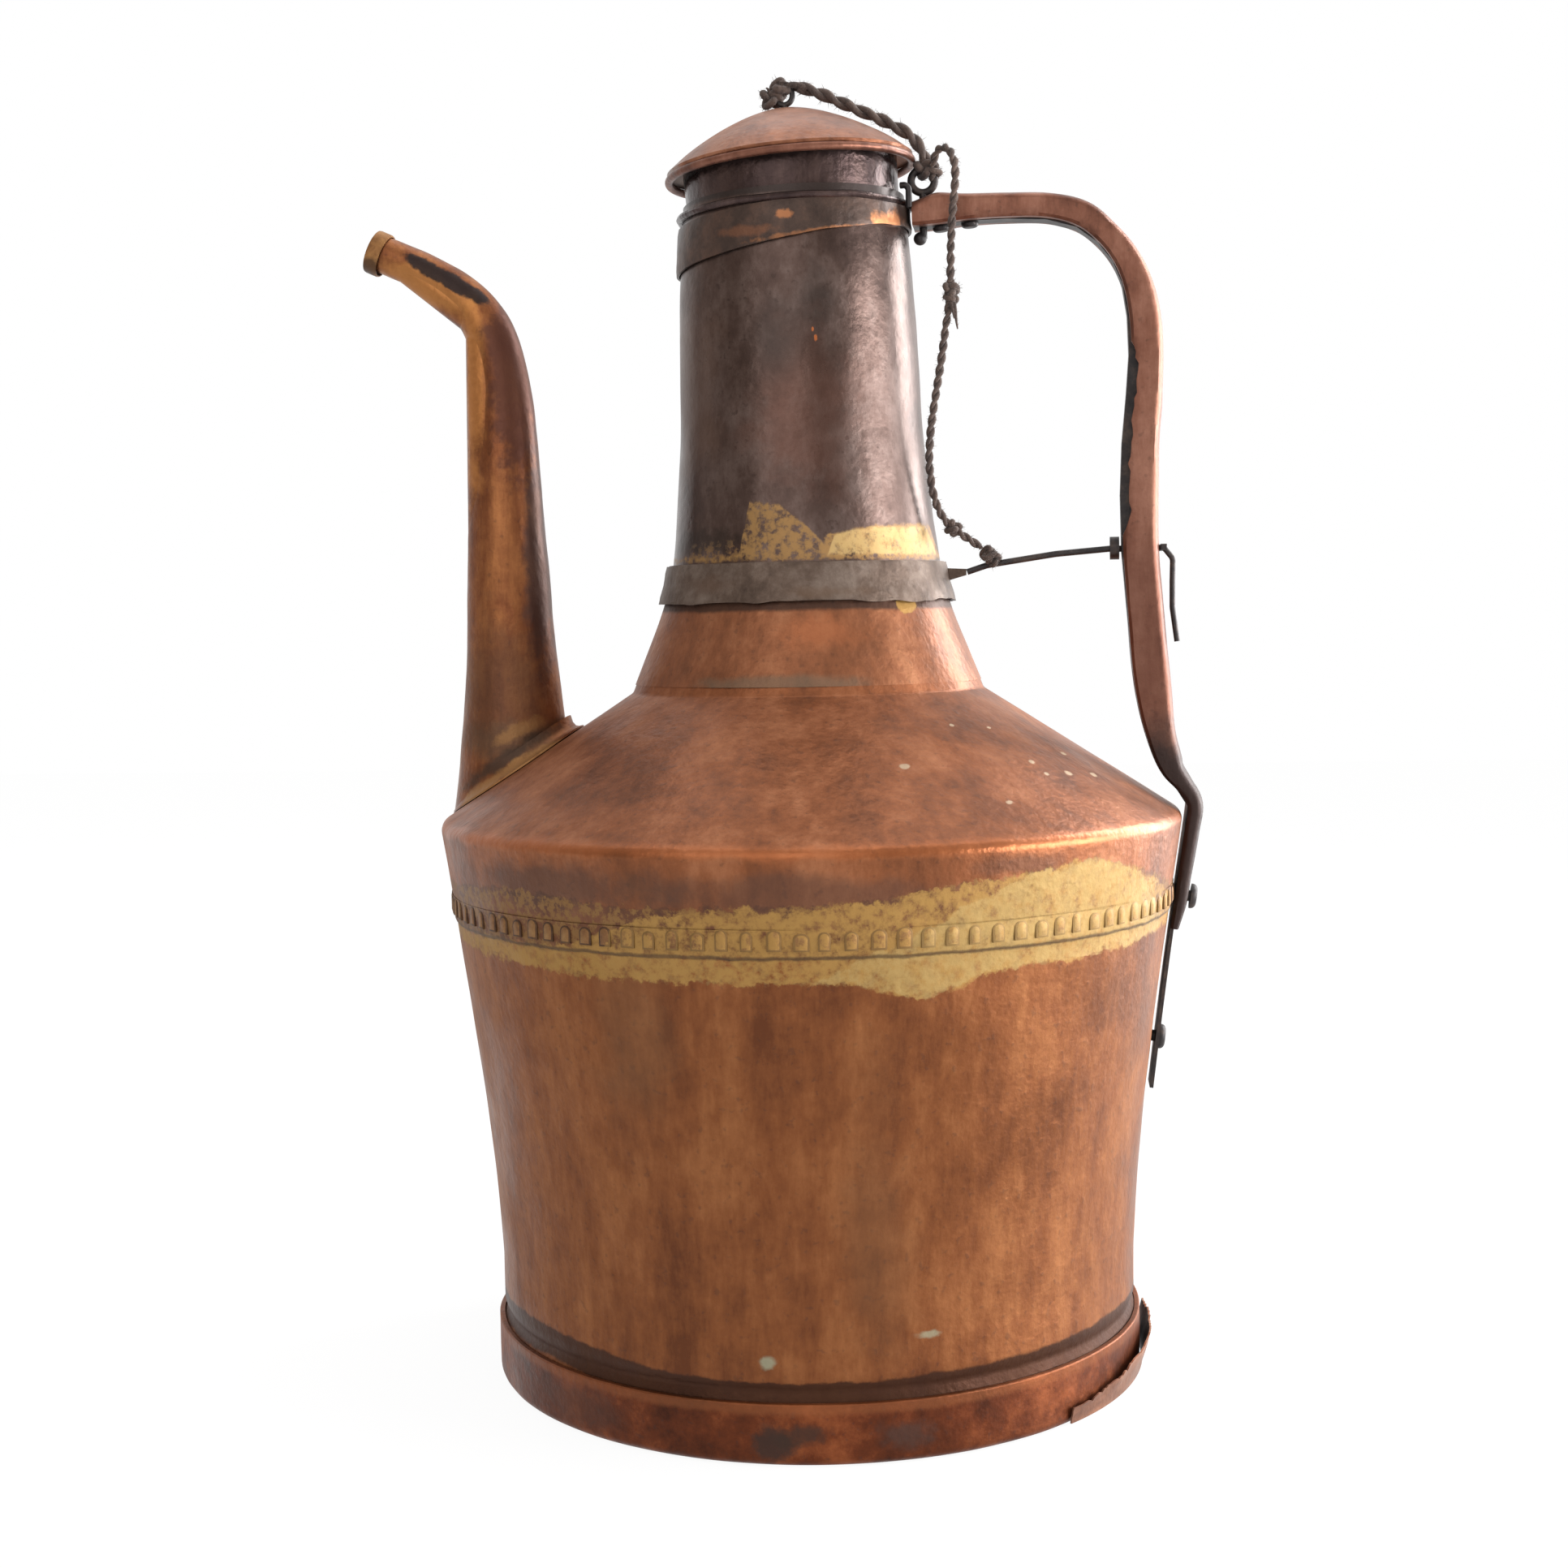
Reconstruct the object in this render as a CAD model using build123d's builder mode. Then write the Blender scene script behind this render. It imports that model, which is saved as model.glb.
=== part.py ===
"""Antique copper pitcher with a lift-off lid, modelled in millimetres.

The origin is the centre of the base's underside and +Z points up. The spout stands
at -X and the handle at +X. The vessel is sheet copper, raised, lapped and brazed.
The neck leans a little toward the spout, and its rim, its band and the lid sit askew.
"""
import math
import os

from build123d import *

os.makedirs("parts", exist_ok=True)

# Sheet metal and fits
wall = 1.2
solder_gap = 0.15
running_gap = 0.3

# Base pan and drum
foot_radius = 114.3
pan_wall = 1.8
pan_height = 20.3
pan_corner = 3.0
groove_depth = 1.3
groove_height = 6.5
groove_floor = 1.6
drum_straight_top = 42.0
belly_radius = 118.4
belly_height = 94.5
drum_slope = 8.4

# Lapped and brazed seam round the body
seam_height = 164.6
lap_height = 8.4
lap_below = 0.6
lap_wall = 0.5

# Shoulder and neck cone
edge_radius = 132.4
edge_height = 197.0
edge_rounding = 4.0
neck_foot_radius = 63.2
neck_foot_height = 241.5
neck_foot_rounding = 2.5
flange_height = 3.0
cone_foot_lean = 21.5
cone_joint_lean = 19.5
neck_joint_radius = 48.9
neck_joint_height = 280.0

# Neck tube, measured along its own leaning axis above the joint
neck_lean = 1.0
neck_length = 132.7
neck_low_radius = 45.9
neck_low_rise = 22.0
neck_mid_radius = 43.4
neck_mid_rise = 52.0
neck_high_radius = 41.7
neck_high_rise = 100.0
mouth_radius = 39.2
rim_tilt = 2.0
rim_wire = 1.0
rim_seat = 4.0

# Iron strap round the neck joint
strap_height = 13.0
strap_wall = 1.3
strap_below_joint = 7.0
lug_length = 6.5
lug_rise = 1.5
lug_lift = 0.8
lug_height = 4.6
lug_wall = 1.7

# Copper band under the rim
band_wall = 1.2
band_top_tilt = 5.5
band_top_drop = 5.2
band_foot_tilt = 10.0
band_foot_drop = 18.0
band_spare = 12.0

# Iron clip hooked over the rim beside the handle
clip_rod = 1.1
clip_turn = -17.0
clip_drop = 7.5

# Lid
lid_tilt = 4.0
lid_radius = 43.6
lid_shift = 1.0
lid_stand = 10.7
lid_edge_rise = 2.6
lid_mid_radius = 31.0
lid_mid_rise = 11.5
lid_high_radius = 14.5
lid_high_rise = 19.4
lid_rise = 22.3
lid_sheet = 1.0
lid_wire = 1.4
skirt_play = 0.45
skirt_flare = 0.6
skirt_depth = 21.7
skirt_wall = 0.8
skirt_above_edge = 2.3

# Spout, its stations measured inward and upward from the shoulder edge
spout_wall = 1.1
spout_breadth = 0.95
collar_wall = 1.1
collar_margin = 3.5
collar_shift = 1.2
tip_ring_length = 5.0
tip_ring_wall = 0.7
tip_ring_play = 0.25

# Handle
sheath_wall = 1.0
sheath_width = 18.0
core_width = 8.0
core_thickness = 5.0
strap_thickness = 1.3
strap_width = 14.0
strap_foot_height = 99.0
sheath_foot_height = 156.0
handle_drop = 10.1

# Rivets
wall_rivet_radius = 2.0
wall_rivet_head = 4.4
wall_rivet_dome = 2.2
upper_rivet_height = 167.5
lower_rivet_height = 116.5
rove_radius = 4.5
rove_wall = 1.0
clench_rise = 1.0
clench_spread = 1.5
hole_play = 0.1
sheath_rivet_radius = 1.4
sheath_rivet_head = 3.0
sheath_rivet_dome = 1.6
sheath_rivet_short = 0.4
dome_rounding = 0.8

# Eye rings, tie wire and cords
eye_rod = 1.35
eye_radius = 4.1
eye_clench_radius = 2.3
eye_clench_drop = 3.6
lid_eye_rod = 1.0
lid_eye_radius = 3.1
tie_rod = 1.1
tail_share = 0.9
tail_rest = 21.0
tail_drop = 33.0
wrap_rise = 9.6
wrap_wall = 2.0
wrap_play = 0.5
wrap_corner = 2.6
hook_front = 3.5
nut_radius = 4.0
nut_length = 3.2
core_proud = 0.8
tether_diameter = 4.6
hanging_diameter = 3.0


def tilted(degrees, x, z):
    """Upright profile plane at (x, 0, z) whose handle side is raised by the angle."""
    turn = math.radians(degrees)
    across = (math.cos(turn), 0, math.sin(turn))
    return Plane(origin=(x, 0, z), x_dir=across, z_dir=(0, -1, 0))


def upright_axis(plane):
    """Axis of revolution of a tilted profile plane."""
    return Axis(plane.origin, plane.y_dir)


def level_plane(degrees, x, z):
    """Nearly level cutting plane whose handle side is raised by the angle."""
    profile = tilted(degrees, x, z)
    return Plane(origin=(x, 0, z), x_dir=profile.x_dir, z_dir=profile.y_dir)


def radius_on(line, height):
    """Radius where an upward running profile line reaches the height."""
    low, high = 0.0, 1.0
    for _ in range(40):
        middle = (low + high) / 2
        if (line @ middle).Y < height:
            low = middle
        else:
            high = middle
    return (line @ low).X


# Outer lines of the drum, the shoulder piece and the neck cone
flare = math.tan(math.radians(drum_slope))
foot_flare = math.tan(math.radians(cone_foot_lean))
seam_radius = edge_radius - flare * (edge_height - seam_height)
flange_radius = neck_foot_radius - foot_flare * flange_height
flange_top = neck_foot_height + flange_height


def drum_curve(inset):
    """Flaring stretch of the drum's wall, set in from its outer face."""
    lean = math.atan(flare)
    end = (seam_radius - inset * math.cos(lean), seam_height + inset * math.sin(lean))
    with BuildLine() as curve:
        Spline(
            (foot_radius - inset, drum_straight_top),
            (belly_radius - inset, belly_height),
            end,
            tangents=((0, 1), (flare, 1)),
        )
    return curve.wires()[0]


drum_outer = drum_curve(0)
drum_inner = drum_curve(wall)
with BuildLine() as shoulder_line:
    FilletPolyline(
        (seam_radius, seam_height),
        (edge_radius, edge_height),
        (neck_foot_radius, neck_foot_height),
        (flange_radius, flange_top),
        radius=[edge_rounding, neck_foot_rounding],
    )
shoulder_wire = shoulder_line.wires()[0]
with BuildLine() as cone_line:
    TangentArc((flange_radius, flange_top), (neck_joint_radius, neck_joint_height), tangent=(-foot_flare, 1))
cone_wire = cone_line.wires()[0]


def body_radius(height):
    """Outer radius of the vessel below the neck joint."""
    if height <= drum_straight_top:
        return foot_radius
    if height <= seam_height:
        return radius_on(drum_outer, height)
    if height <= flange_top:
        return radius_on(shoulder_wire, height)
    return radius_on(cone_wire, height)


shoulder_slope = (neck_foot_height - edge_height) / (edge_radius - neck_foot_radius)
overshoot = 40.0


def below_shoulder(gap):
    """Cone that fills everything under the shoulder's slope raised by the gap."""
    lift = gap * math.hypot(1, shoulder_slope)
    reach = edge_radius + overshoot
    low_side = edge_height - overshoot * shoulder_slope + lift
    peak = edge_height + edge_radius * shoulder_slope + lift
    with BuildPart() as cone:
        with BuildSketch(Plane.XZ):
            with BuildLine():
                Polyline((0, belly_height), (reach, belly_height), (reach, low_side), (0, peak), close=True)
            make_face()
        revolve(axis=Axis.Z)
    return cone.part


# Spout stations: inward from the shoulder edge, above it, radius, lean toward the tip
spout_stations = [
    (22.9, -7.0, 22.8, 0.0),
    (24.2, 19.0, 20.6, 0.0),
    (24.1, 40.0, 18.2, 0.0),
    (23.8, 62.0, 16.4, 0.0),
    (23.5, 90.0, 14.9, 0.0),
    (23.4, 119.0, 13.1, 0.0),
    (23.3, 142.0, 11.9, 1.0),
    (22.5, 157.0, 10.7, 5.0),
    (20.2, 171.6, 9.4, 17.0),
    (15.2, 181.2, 8.5, 34.0),
    (7.4, 189.3, 7.8, 50.0),
    (-5.0, 197.1, 7.2, 61.0),
    (-15.2, 201.8, 7.0, 65.0),
    (-23.3, 205.1, 7.0, 65.5),
]


def spout_plane(inward, above, lean):
    """Plane square to the spout's run at one of its stations."""
    turn = math.radians(lean)
    centre = (inward - edge_radius, 0, edge_height + above)
    across = (math.cos(turn), 0, math.sin(turn))
    onward = (-math.sin(turn), 0, math.cos(turn))
    return Plane(origin=centre, x_dir=across, z_dir=onward)


def spout_solid(grow):
    """Solid spout shape, grown or shrunk by the given amount."""
    with BuildPart() as shape:
        for inward, above, radius, lean in spout_stations:
            with BuildSketch(spout_plane(inward, above, lean)):
                Ellipse(radius + grow, radius * spout_breadth + grow)
        loft()
    return shape.part


spout_outer = spout_solid(0)
spout_bore = spout_solid(-spout_wall)
spout_clear = spout_solid(solder_gap)
shoulder_clear = below_shoulder(solder_gap)
collar_top = below_shoulder(solder_gap + collar_wall)

# Handle rivet places on the wall


def wall_plane(height):
    """Plane on the vessel's handle side at a height, facing straight out of the wall."""
    here = body_radius(height)
    fall = math.atan2(body_radius(height + 1) - body_radius(height - 1), 2)
    return Plane(origin=(here, 0, height), x_dir=(0, 1, 0), z_dir=(math.cos(fall), 0, -math.sin(fall)))


rivet_planes = [wall_plane(upper_rivet_height), wall_plane(lower_rivet_height)]

# Base pan: flat floor with an upturned wall outside the drum
pan_radius = foot_radius + solder_gap + pan_wall
with BuildPart() as base_pan:
    with BuildSketch(Plane.XZ):
        with BuildLine():
            Line((0, 0), (pan_radius - pan_corner, 0))
            RadiusArc((pan_radius - pan_corner, 0), (pan_radius, pan_corner), -pan_corner)
            Polyline(
                (pan_radius, pan_corner),
                (pan_radius, pan_height),
                (pan_radius - pan_wall, pan_height),
                (pan_radius - pan_wall, pan_wall),
                (0, pan_wall),
                (0, 0),
            )
        make_face()
    revolve(axis=Axis.Z)

# Torn skin of the foot that stands off the pan on the handle side
flap_start = -39.0
flap_sweep = 50.0
flap_foot = 0.6
flap_top = 14.0
flap_reach = 4.6
flap_wall = 0.9
flap_low_top = 6.8
flap_rise = 7.5
flap_turn = math.radians(flap_start)
flap_outward = (math.cos(flap_turn), math.sin(flap_turn), 0)
flap_plane = Plane(origin=(0, 0, 0), x_dir=flap_outward, z_dir=(math.sin(flap_turn), -math.cos(flap_turn), 0))
flap_inner = pan_radius + solder_gap
flap_slope = math.radians(flap_rise)
flap_cut = Plane(
    origin=(0, pan_radius * math.sin(flap_turn), flap_low_top),
    x_dir=(1, 0, 0),
    z_dir=(0, -math.sin(flap_slope), math.cos(flap_slope)),
)
with BuildPart() as torn_foot_skin:
    with BuildSketch(flap_plane):
        with BuildLine():
            Polyline(
                (flap_inner, flap_foot),
                (flap_inner + flap_wall, flap_foot),
                (flap_inner + flap_reach, flap_top),
                (flap_inner + flap_reach - flap_wall, flap_top),
                close=True,
            )
        make_face()
    revolve(axis=Axis.Z, revolution_arc=flap_sweep)
    split(bisect_by=flap_cut, keep=Keep.BOTTOM)

# Drum below the seam, with the lap that turns up outside the shoulder piece
lap_foot = seam_height - lap_below
lap_top = seam_height + lap_height
groove_foot = pan_height + (groove_height - groove_floor) / 2
groove_top = groove_foot + groove_floor
groove_radius = foot_radius - groove_depth
with BuildPart() as drum_wall:
    with BuildSketch(Plane.XZ):
        with BuildLine():
            Polyline(
                (foot_radius - wall, drum_straight_top),
                (foot_radius - wall, pan_height + groove_height),
                (groove_radius - wall, groove_top),
                (groove_radius - wall, groove_foot),
                (foot_radius - wall, pan_height),
                (foot_radius - wall, pan_wall),
                (foot_radius, pan_wall),
                (foot_radius, pan_height),
                (groove_radius, groove_foot),
                (groove_radius, groove_top),
                (foot_radius, pan_height + groove_height),
                (foot_radius, drum_straight_top),
            )
            add(drum_outer)
            Line(drum_outer @ 1, drum_inner @ 1)
            add(drum_inner)
        make_face()
    revolve(axis=Axis.Z)
    with BuildSketch(Plane.XZ):
        with BuildLine():
            Polyline(
                (body_radius(lap_foot) - solder_gap, lap_foot),
                (body_radius(lap_foot) + lap_wall, lap_foot),
                (body_radius(lap_top) + solder_gap + lap_wall, lap_top),
                (body_radius(lap_top) + solder_gap, lap_top),
                (body_radius(seam_height) + solder_gap, seam_height),
                (body_radius(seam_height) - solder_gap, seam_height),
                close=True,
            )
        make_face()
    revolve(axis=Axis.Z)
    for plane in rivet_planes:
        with BuildSketch(plane.offset(-2 * wall)):
            Circle(wall_rivet_radius + hole_play)
        extrude(amount=4 * wall, mode=Mode.SUBTRACT)

# Raised shoulder piece: upper wall, edge and slope, with the spout's opening
with BuildPart() as shoulder:
    with BuildSketch(Plane.XZ):
        with BuildLine():
            add(shoulder_wire)
            offset(amount=wall, side=Side.LEFT)
        make_face()
    revolve(axis=Axis.Z)
    add(spout_bore, mode=Mode.SUBTRACT)
    with BuildSketch(rivet_planes[0].offset(-2 * wall)):
        Circle(wall_rivet_radius + hole_play)
    extrude(amount=4 * wall, mode=Mode.SUBTRACT)

# Neck cone between the shoulder's flange and the joint with the neck tube
joint_flare = math.tan(math.radians(cone_joint_lean))
cone_trim = 2.0
with BuildPart() as neck_cone:
    with BuildSketch(Plane.XZ):
        with BuildLine():
            add(cone_wire)
            Line(cone_wire @ 1, cone_wire @ 1 + Vector(-joint_flare * cone_trim, cone_trim))
            offset(amount=wall, side=Side.LEFT)
        make_face()
    revolve(axis=Axis.Z)
    split(bisect_by=Plane.XY.offset(neck_joint_height), keep=Keep.BOTTOM)

# Neck tube, leaning toward the spout and cut askew at the mouth
neck_plane = tilted(neck_lean, 0, neck_joint_height)
neck_trim = 2.0


def neck_curve(inset):
    """Tapering line of the neck tube, set in from its outer face."""
    with BuildLine() as curve:
        Spline(
            (neck_joint_radius - inset + joint_flare * neck_trim, -neck_trim),
            (neck_joint_radius - inset, 0),
            (neck_low_radius - inset, neck_low_rise),
            (neck_mid_radius - inset, neck_mid_rise),
            (neck_high_radius - inset, neck_high_rise),
            (mouth_radius - inset, neck_length + neck_trim),
        )
    return curve.wires()[0]


neck_wire = neck_curve(0)
neck_inner = neck_curve(wall)
rim_height = neck_joint_height + neck_length
rim_x = -neck_length * math.sin(math.radians(neck_lean))
rim_cut = level_plane(rim_tilt, rim_x, rim_height)


def neck_radius(rise):
    """Outer radius of the neck tube above the joint, along its own axis."""
    return radius_on(neck_wire, rise)


with BuildPart() as neck_tube:
    with BuildSketch(neck_plane):
        with BuildLine():
            add(neck_wire)
            Line(neck_wire @ 1, neck_inner @ 1)
            add(neck_inner)
            Line(neck_inner @ 0, neck_wire @ 0)
        make_face()
    revolve(axis=upright_axis(neck_plane))
    split(bisect_by=Plane.XY.offset(neck_joint_height), keep=Keep.TOP)
    split(bisect_by=rim_cut, keep=Keep.BOTTOM)

# Wired edge outside the mouth
rim_plane = tilted(rim_tilt, rim_x, rim_height - rim_wire)
with BuildPart() as neck_rim:
    with BuildSketch(rim_plane):
        with Locations((neck_radius(neck_length - rim_seat) + solder_gap + rim_wire, 0)):
            Circle(rim_wire)
    revolve(axis=upright_axis(rim_plane))

# Clip over the wired edge, in an upright plane through the mouth's centre
clip_out = neck_radius(neck_length - rim_seat) + solder_gap + 2 * rim_wire + running_gap + clip_rod
clip_top = rim_height + clip_out * math.sin(math.radians(rim_tilt)) + running_gap + clip_rod
clip_side = math.radians(clip_turn)
clip_start = clip_out - 3.0
clip_bend = clip_rod * 1.8
clip_places = [
    (rim_x + clip_start * math.cos(clip_side), clip_start * math.sin(clip_side), clip_top),
    (rim_x + clip_out * math.cos(clip_side), clip_out * math.sin(clip_side), clip_top),
    (rim_x + clip_out * math.cos(clip_side), clip_out * math.sin(clip_side), clip_top - clip_drop),
]
with BuildPart() as rim_clip:
    with BuildLine() as clip_path:
        FilletPolyline(*clip_places, radius=clip_bend)
    with BuildSketch(Plane(origin=clip_places[0], z_dir=Vector(*clip_places[1]) - Vector(*clip_places[0]))):
        Circle(clip_rod)
    sweep(path=clip_path.wires()[0])

# Iron strap drawn round the neck joint
strap_foot = neck_joint_height - strap_below_joint
strap_rise = strap_height - strap_below_joint

# Copper band askew under the rim
band_low = neck_length - band_foot_drop - band_spare
band_middle = neck_length - band_foot_drop
with BuildPart() as neck_band:
    with BuildSketch(neck_plane):
        with BuildLine():
            Polyline(
                (neck_radius(band_low) + solder_gap, band_low),
                (neck_radius(band_middle) + solder_gap, band_middle),
                (neck_radius(neck_length) + solder_gap, neck_length),
            )
            offset(amount=band_wall, side=Side.RIGHT)
        make_face()
    revolve(axis=upright_axis(neck_plane))
    split(bisect_by=level_plane(band_top_tilt, rim_x, rim_height - band_top_drop), keep=Keep.BOTTOM)
    split(bisect_by=level_plane(band_foot_tilt, rim_x, rim_height - band_foot_drop), keep=Keep.TOP)

# Spout tube, its collar and the ring at its tip
with BuildPart() as spout_tube:
    add(spout_outer)
    add(spout_bore, mode=Mode.SUBTRACT)
    add(shoulder_clear, mode=Mode.SUBTRACT)

base_inward, _, base_radius, _ = spout_stations[1]
collar_reach = base_radius + collar_margin
with BuildPart() as spout_collar:
    with BuildSketch(Plane.XY.offset(edge_height)):
        with Locations((base_inward + collar_shift - edge_radius, 0)):
            Ellipse(collar_reach, collar_reach * spout_breadth)
    extrude(amount=neck_foot_height - edge_height)
    add(collar_top, mode=Mode.INTERSECT)
    add(shoulder_clear, mode=Mode.SUBTRACT)
    add(spout_clear, mode=Mode.SUBTRACT)

tip_inward, tip_above, tip_radius, tip_lean = spout_stations[-1]
tip_plane = spout_plane(tip_inward, tip_above, tip_lean)
ring_bore = tip_radius + tip_ring_play
ring_side_bore = tip_radius * spout_breadth + tip_ring_play
with BuildPart() as spout_tip_ring:
    with BuildSketch(tip_plane):
        Ellipse(ring_bore + tip_ring_wall, ring_side_bore + tip_ring_wall)
        Ellipse(ring_bore, ring_side_bore, mode=Mode.SUBTRACT)
    extrude(amount=-tip_ring_length)

# Handle run along its inner edge, from the neck band to the foot of the iron strap
seat_rise = neck_length - handle_drop
neck_side = neck_radius(seat_rise) - seat_rise * math.sin(math.radians(neck_lean)) + solder_gap + band_wall

# Out from the neck band, down from the rim, sheath depth, core standing proud
upper_stations = [
    (0.4, handle_drop, 9.0, 0.0),
    (3.8, 10.0, 10.0, 0.0),
    (10.0, 9.6, 11.4, 0.0),
    (20.0, 8.6, 9.6, 0.0),
    (33.0, 8.3, 9.0, 0.2),
    (46.5, 8.9, 9.0, 0.3),
    (57.0, 12.0, 9.5, 0.2),
    (64.2, 17.6, 9.0, 0.0),
    (69.3, 24.2, 9.4, 0.0),
    (72.7, 32.0, 10.2, 0.2),
    (74.8, 42.5, 11.0, 0.6),
    (75.5, 56.0, 11.4, 0.8),
]

# Inward from the shoulder edge, above it, sheath depth, core standing proud
lower_stations = [
    (18.3, 146.0, 11.9, 0.8),
    (19.9, 129.0, 12.4, 0.8),
    (20.6, 111.0, 12.6, 0.8),
    (20.5, 91.0, 12.6, 0.5),
    (19.1, 71.0, 12.7, 0.2),
    (17.8, 53.0, 13.0, 0.0),
    (15.8, 38.5, 12.4, 0.0),
    (12.4, 25.0, 10.4, 0.0),
]

# The same, where the core is drawn out flat: core thickness, share of the sheath's wide opening
bend_stations = [
    (8.0, 14.0, 9.0, 3.4, 0.3),
    (2.4, 7.6, 6.6, 2.0, 0.8),
    (-1.1, 2.0, 5.8, strap_thickness, 1.0),
]

# Depth of the sheath down the wall, from just under the edge to its foot
wall_depths = [5.7, 5.5, 5.1, 4.9, 3.4]
wall_run_drop = 6.0
strap_stand = solder_gap + lap_wall + running_gap
strap_steps = 5


def wall_point(height):
    """Inner edge of the handle strap where it lies along the wall."""
    return (body_radius(height) + strap_stand, height)


grip_opening = core_width + 2 * running_gap
strap_opening = strap_width + 3 * running_gap
sheath_run = []
for out, down, depth, proud in upper_stations:
    sheath_run.append((neck_side + out, rim_height - down, depth, proud, core_thickness, grip_opening))
for inward, above, depth, proud in lower_stations:
    sheath_run.append((edge_radius - inward, edge_height + above, depth, proud, core_thickness, grip_opening))
for inward, above, depth, thickness, share in bend_stations:
    opening = grip_opening + share * (strap_opening - grip_opening)
    sheath_run.append((edge_radius - inward, edge_height + above, depth, 0.0, thickness, opening))
strap_first = len(sheath_run) - 1
wall_start = edge_height - wall_run_drop
wall_step = (wall_start - sheath_foot_height) / (len(wall_depths) - 1)
for index, depth in enumerate(wall_depths):
    across, height = wall_point(wall_start - index * wall_step)
    sheath_run.append((across, height, depth, 0.0, strap_thickness, strap_opening))
core_run = list(sheath_run)
strap_step = (sheath_foot_height - strap_foot_height) / strap_steps
for index in range(1, strap_steps + 1):
    across, height = wall_point(sheath_foot_height - index * strap_step)
    core_run.append((across, height, 0.0, 0.0, strap_thickness, strap_opening))


def run_plane(run, index):
    """Plane square to the run, local x along Y and local y away from the vessel."""
    before = run[max(index - 1, 0)]
    after = run[min(index + 1, len(run) - 1)]
    across, height = run[index][0], run[index][1]
    step = Vector(after[0] - before[0], 0, after[1] - before[1]).normalized()
    return Plane(origin=(across, 0, height), x_dir=(0, 1, 0), z_dir=step)


lip_chamfer = 1.2
lip_step = 0.3
crown = 3.0
crown_share = 0.45


def sheath_outline(depth, opening):
    """Outline of the folded sheet, open on the side that faces the vessel."""
    half = sheath_width / 2
    top = depth - min(crown, depth * crown_share)
    inside = half - sheath_wall
    with BuildLine() as outline:
        Polyline((opening / 2, 0), (half - lip_chamfer, 0), (half, lip_chamfer), (half, top))
        ThreePointArc((half, top), (0, depth), (-half, top))
        Polyline((-half, top), (-half, lip_chamfer), (-half + lip_chamfer, 0), (-opening / 2, 0))
        Polyline(
            (-opening / 2, 0),
            (-opening / 2, sheath_wall),
            (-half + lip_chamfer, sheath_wall),
            (-inside, lip_chamfer + lip_step),
            (-inside, top),
        )
        ThreePointArc((-inside, top), (0, depth - sheath_wall), (inside, top))
        Polyline(
            (inside, top),
            (inside, lip_chamfer + lip_step),
            (half - lip_chamfer, sheath_wall),
            (opening / 2, sheath_wall),
            (opening / 2, 0),
        )
    return outline.edges()


eye_x = sheath_run[1][0]
eye_seat = sheath_run[1][1]
sheath_rivets = (2, 3)
upper_seat = strap_stand + wall_depths[3] + 3 * running_gap
lower_seat = strap_stand + strap_thickness + solder_gap


def drill(plane, near, far, radius):
    """Round cutter along a plane's normal between two distances from it."""
    with BuildPart() as cutter:
        with BuildSketch(plane.offset(near)):
            Circle(radius)
        extrude(amount=far - near)
    return cutter.part


def rivet(plane, seat, head, dome, shank, tail):
    """Domed rivet whose head sits at a distance above the plane, with a shank down to the tail."""
    with BuildPart() as body:
        with BuildSketch(plane.offset(tail)):
            Circle(shank)
        extrude(amount=seat - tail + dome / 2)
        with BuildSketch(plane.offset(seat)):
            Circle(head)
        extrude(amount=dome)
        crown_edge = body.edges().filter_by(GeomType.CIRCLE).sort_by(Axis(plane.origin, plane.z_dir))[-1]
        fillet(crown_edge, radius=dome * dome_rounding)
    return body.part


def facing_plane(index):
    """Plane on the handle's inner edge at a station, turned toward the vessel."""
    here = run_plane(sheath_run, index)
    return Plane(origin=here.origin, x_dir=(0, 1, 0), z_dir=here.y_dir * -1)


def core_slab(first, last, width):
    """Bar with the core's side outline between two stations, across the given width."""
    near_side = []
    far_side = []
    for index in range(first, last + 1):
        plane = run_plane(core_run, index)
        _, _, _, proud, thickness, _ = core_run[index]
        near = plane.from_local_coords(Vector(0, -proud, 0))
        far = plane.from_local_coords(Vector(0, thickness - proud, 0))
        near_side.append((near.X, near.Z))
        far_side.append((far.X, far.Z))
    with BuildPart() as slab:
        with BuildSketch(Plane.XZ):
            with BuildLine():
                Polyline(*near_side, *reversed(far_side), close=True)
            make_face()
        extrude(amount=width / 2, both=True)
    return slab.part


hole_reach = 20.0
sheath_rivet_planes = [facing_plane(index) for index in sheath_rivets]
eye_hole = drill(Plane(origin=(eye_x, 0, eye_seat)), -hole_reach, hole_reach, eye_rod + hole_play)
wall_hole = drill(rivet_planes[0], -2 * wall, hole_reach, wall_rivet_radius + hole_play)
strap_hole = drill(rivet_planes[1], 0, hole_reach, wall_rivet_radius + hole_play)
sheath_holes = [
    drill(plane, -hole_reach, hole_reach, sheath_rivet_radius + hole_play)
    for plane in sheath_rivet_planes
]

with BuildPart() as handle_sheath:
    for index, (_, _, depth, _, _, opening) in enumerate(sheath_run):
        with BuildSketch(run_plane(sheath_run, index)):
            make_face(sheath_outline(depth, opening))
    loft()
    for hole in (eye_hole, wall_hole, *sheath_holes):
        add(hole, mode=Mode.SUBTRACT)

with BuildPart() as handle_core:
    add(core_slab(0, strap_first, core_width))
    add(core_slab(strap_first, len(core_run) - 1, strap_width))
    for hole in (eye_hole, wall_hole, strap_hole, *sheath_holes):
        add(hole, mode=Mode.SUBTRACT)

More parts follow.
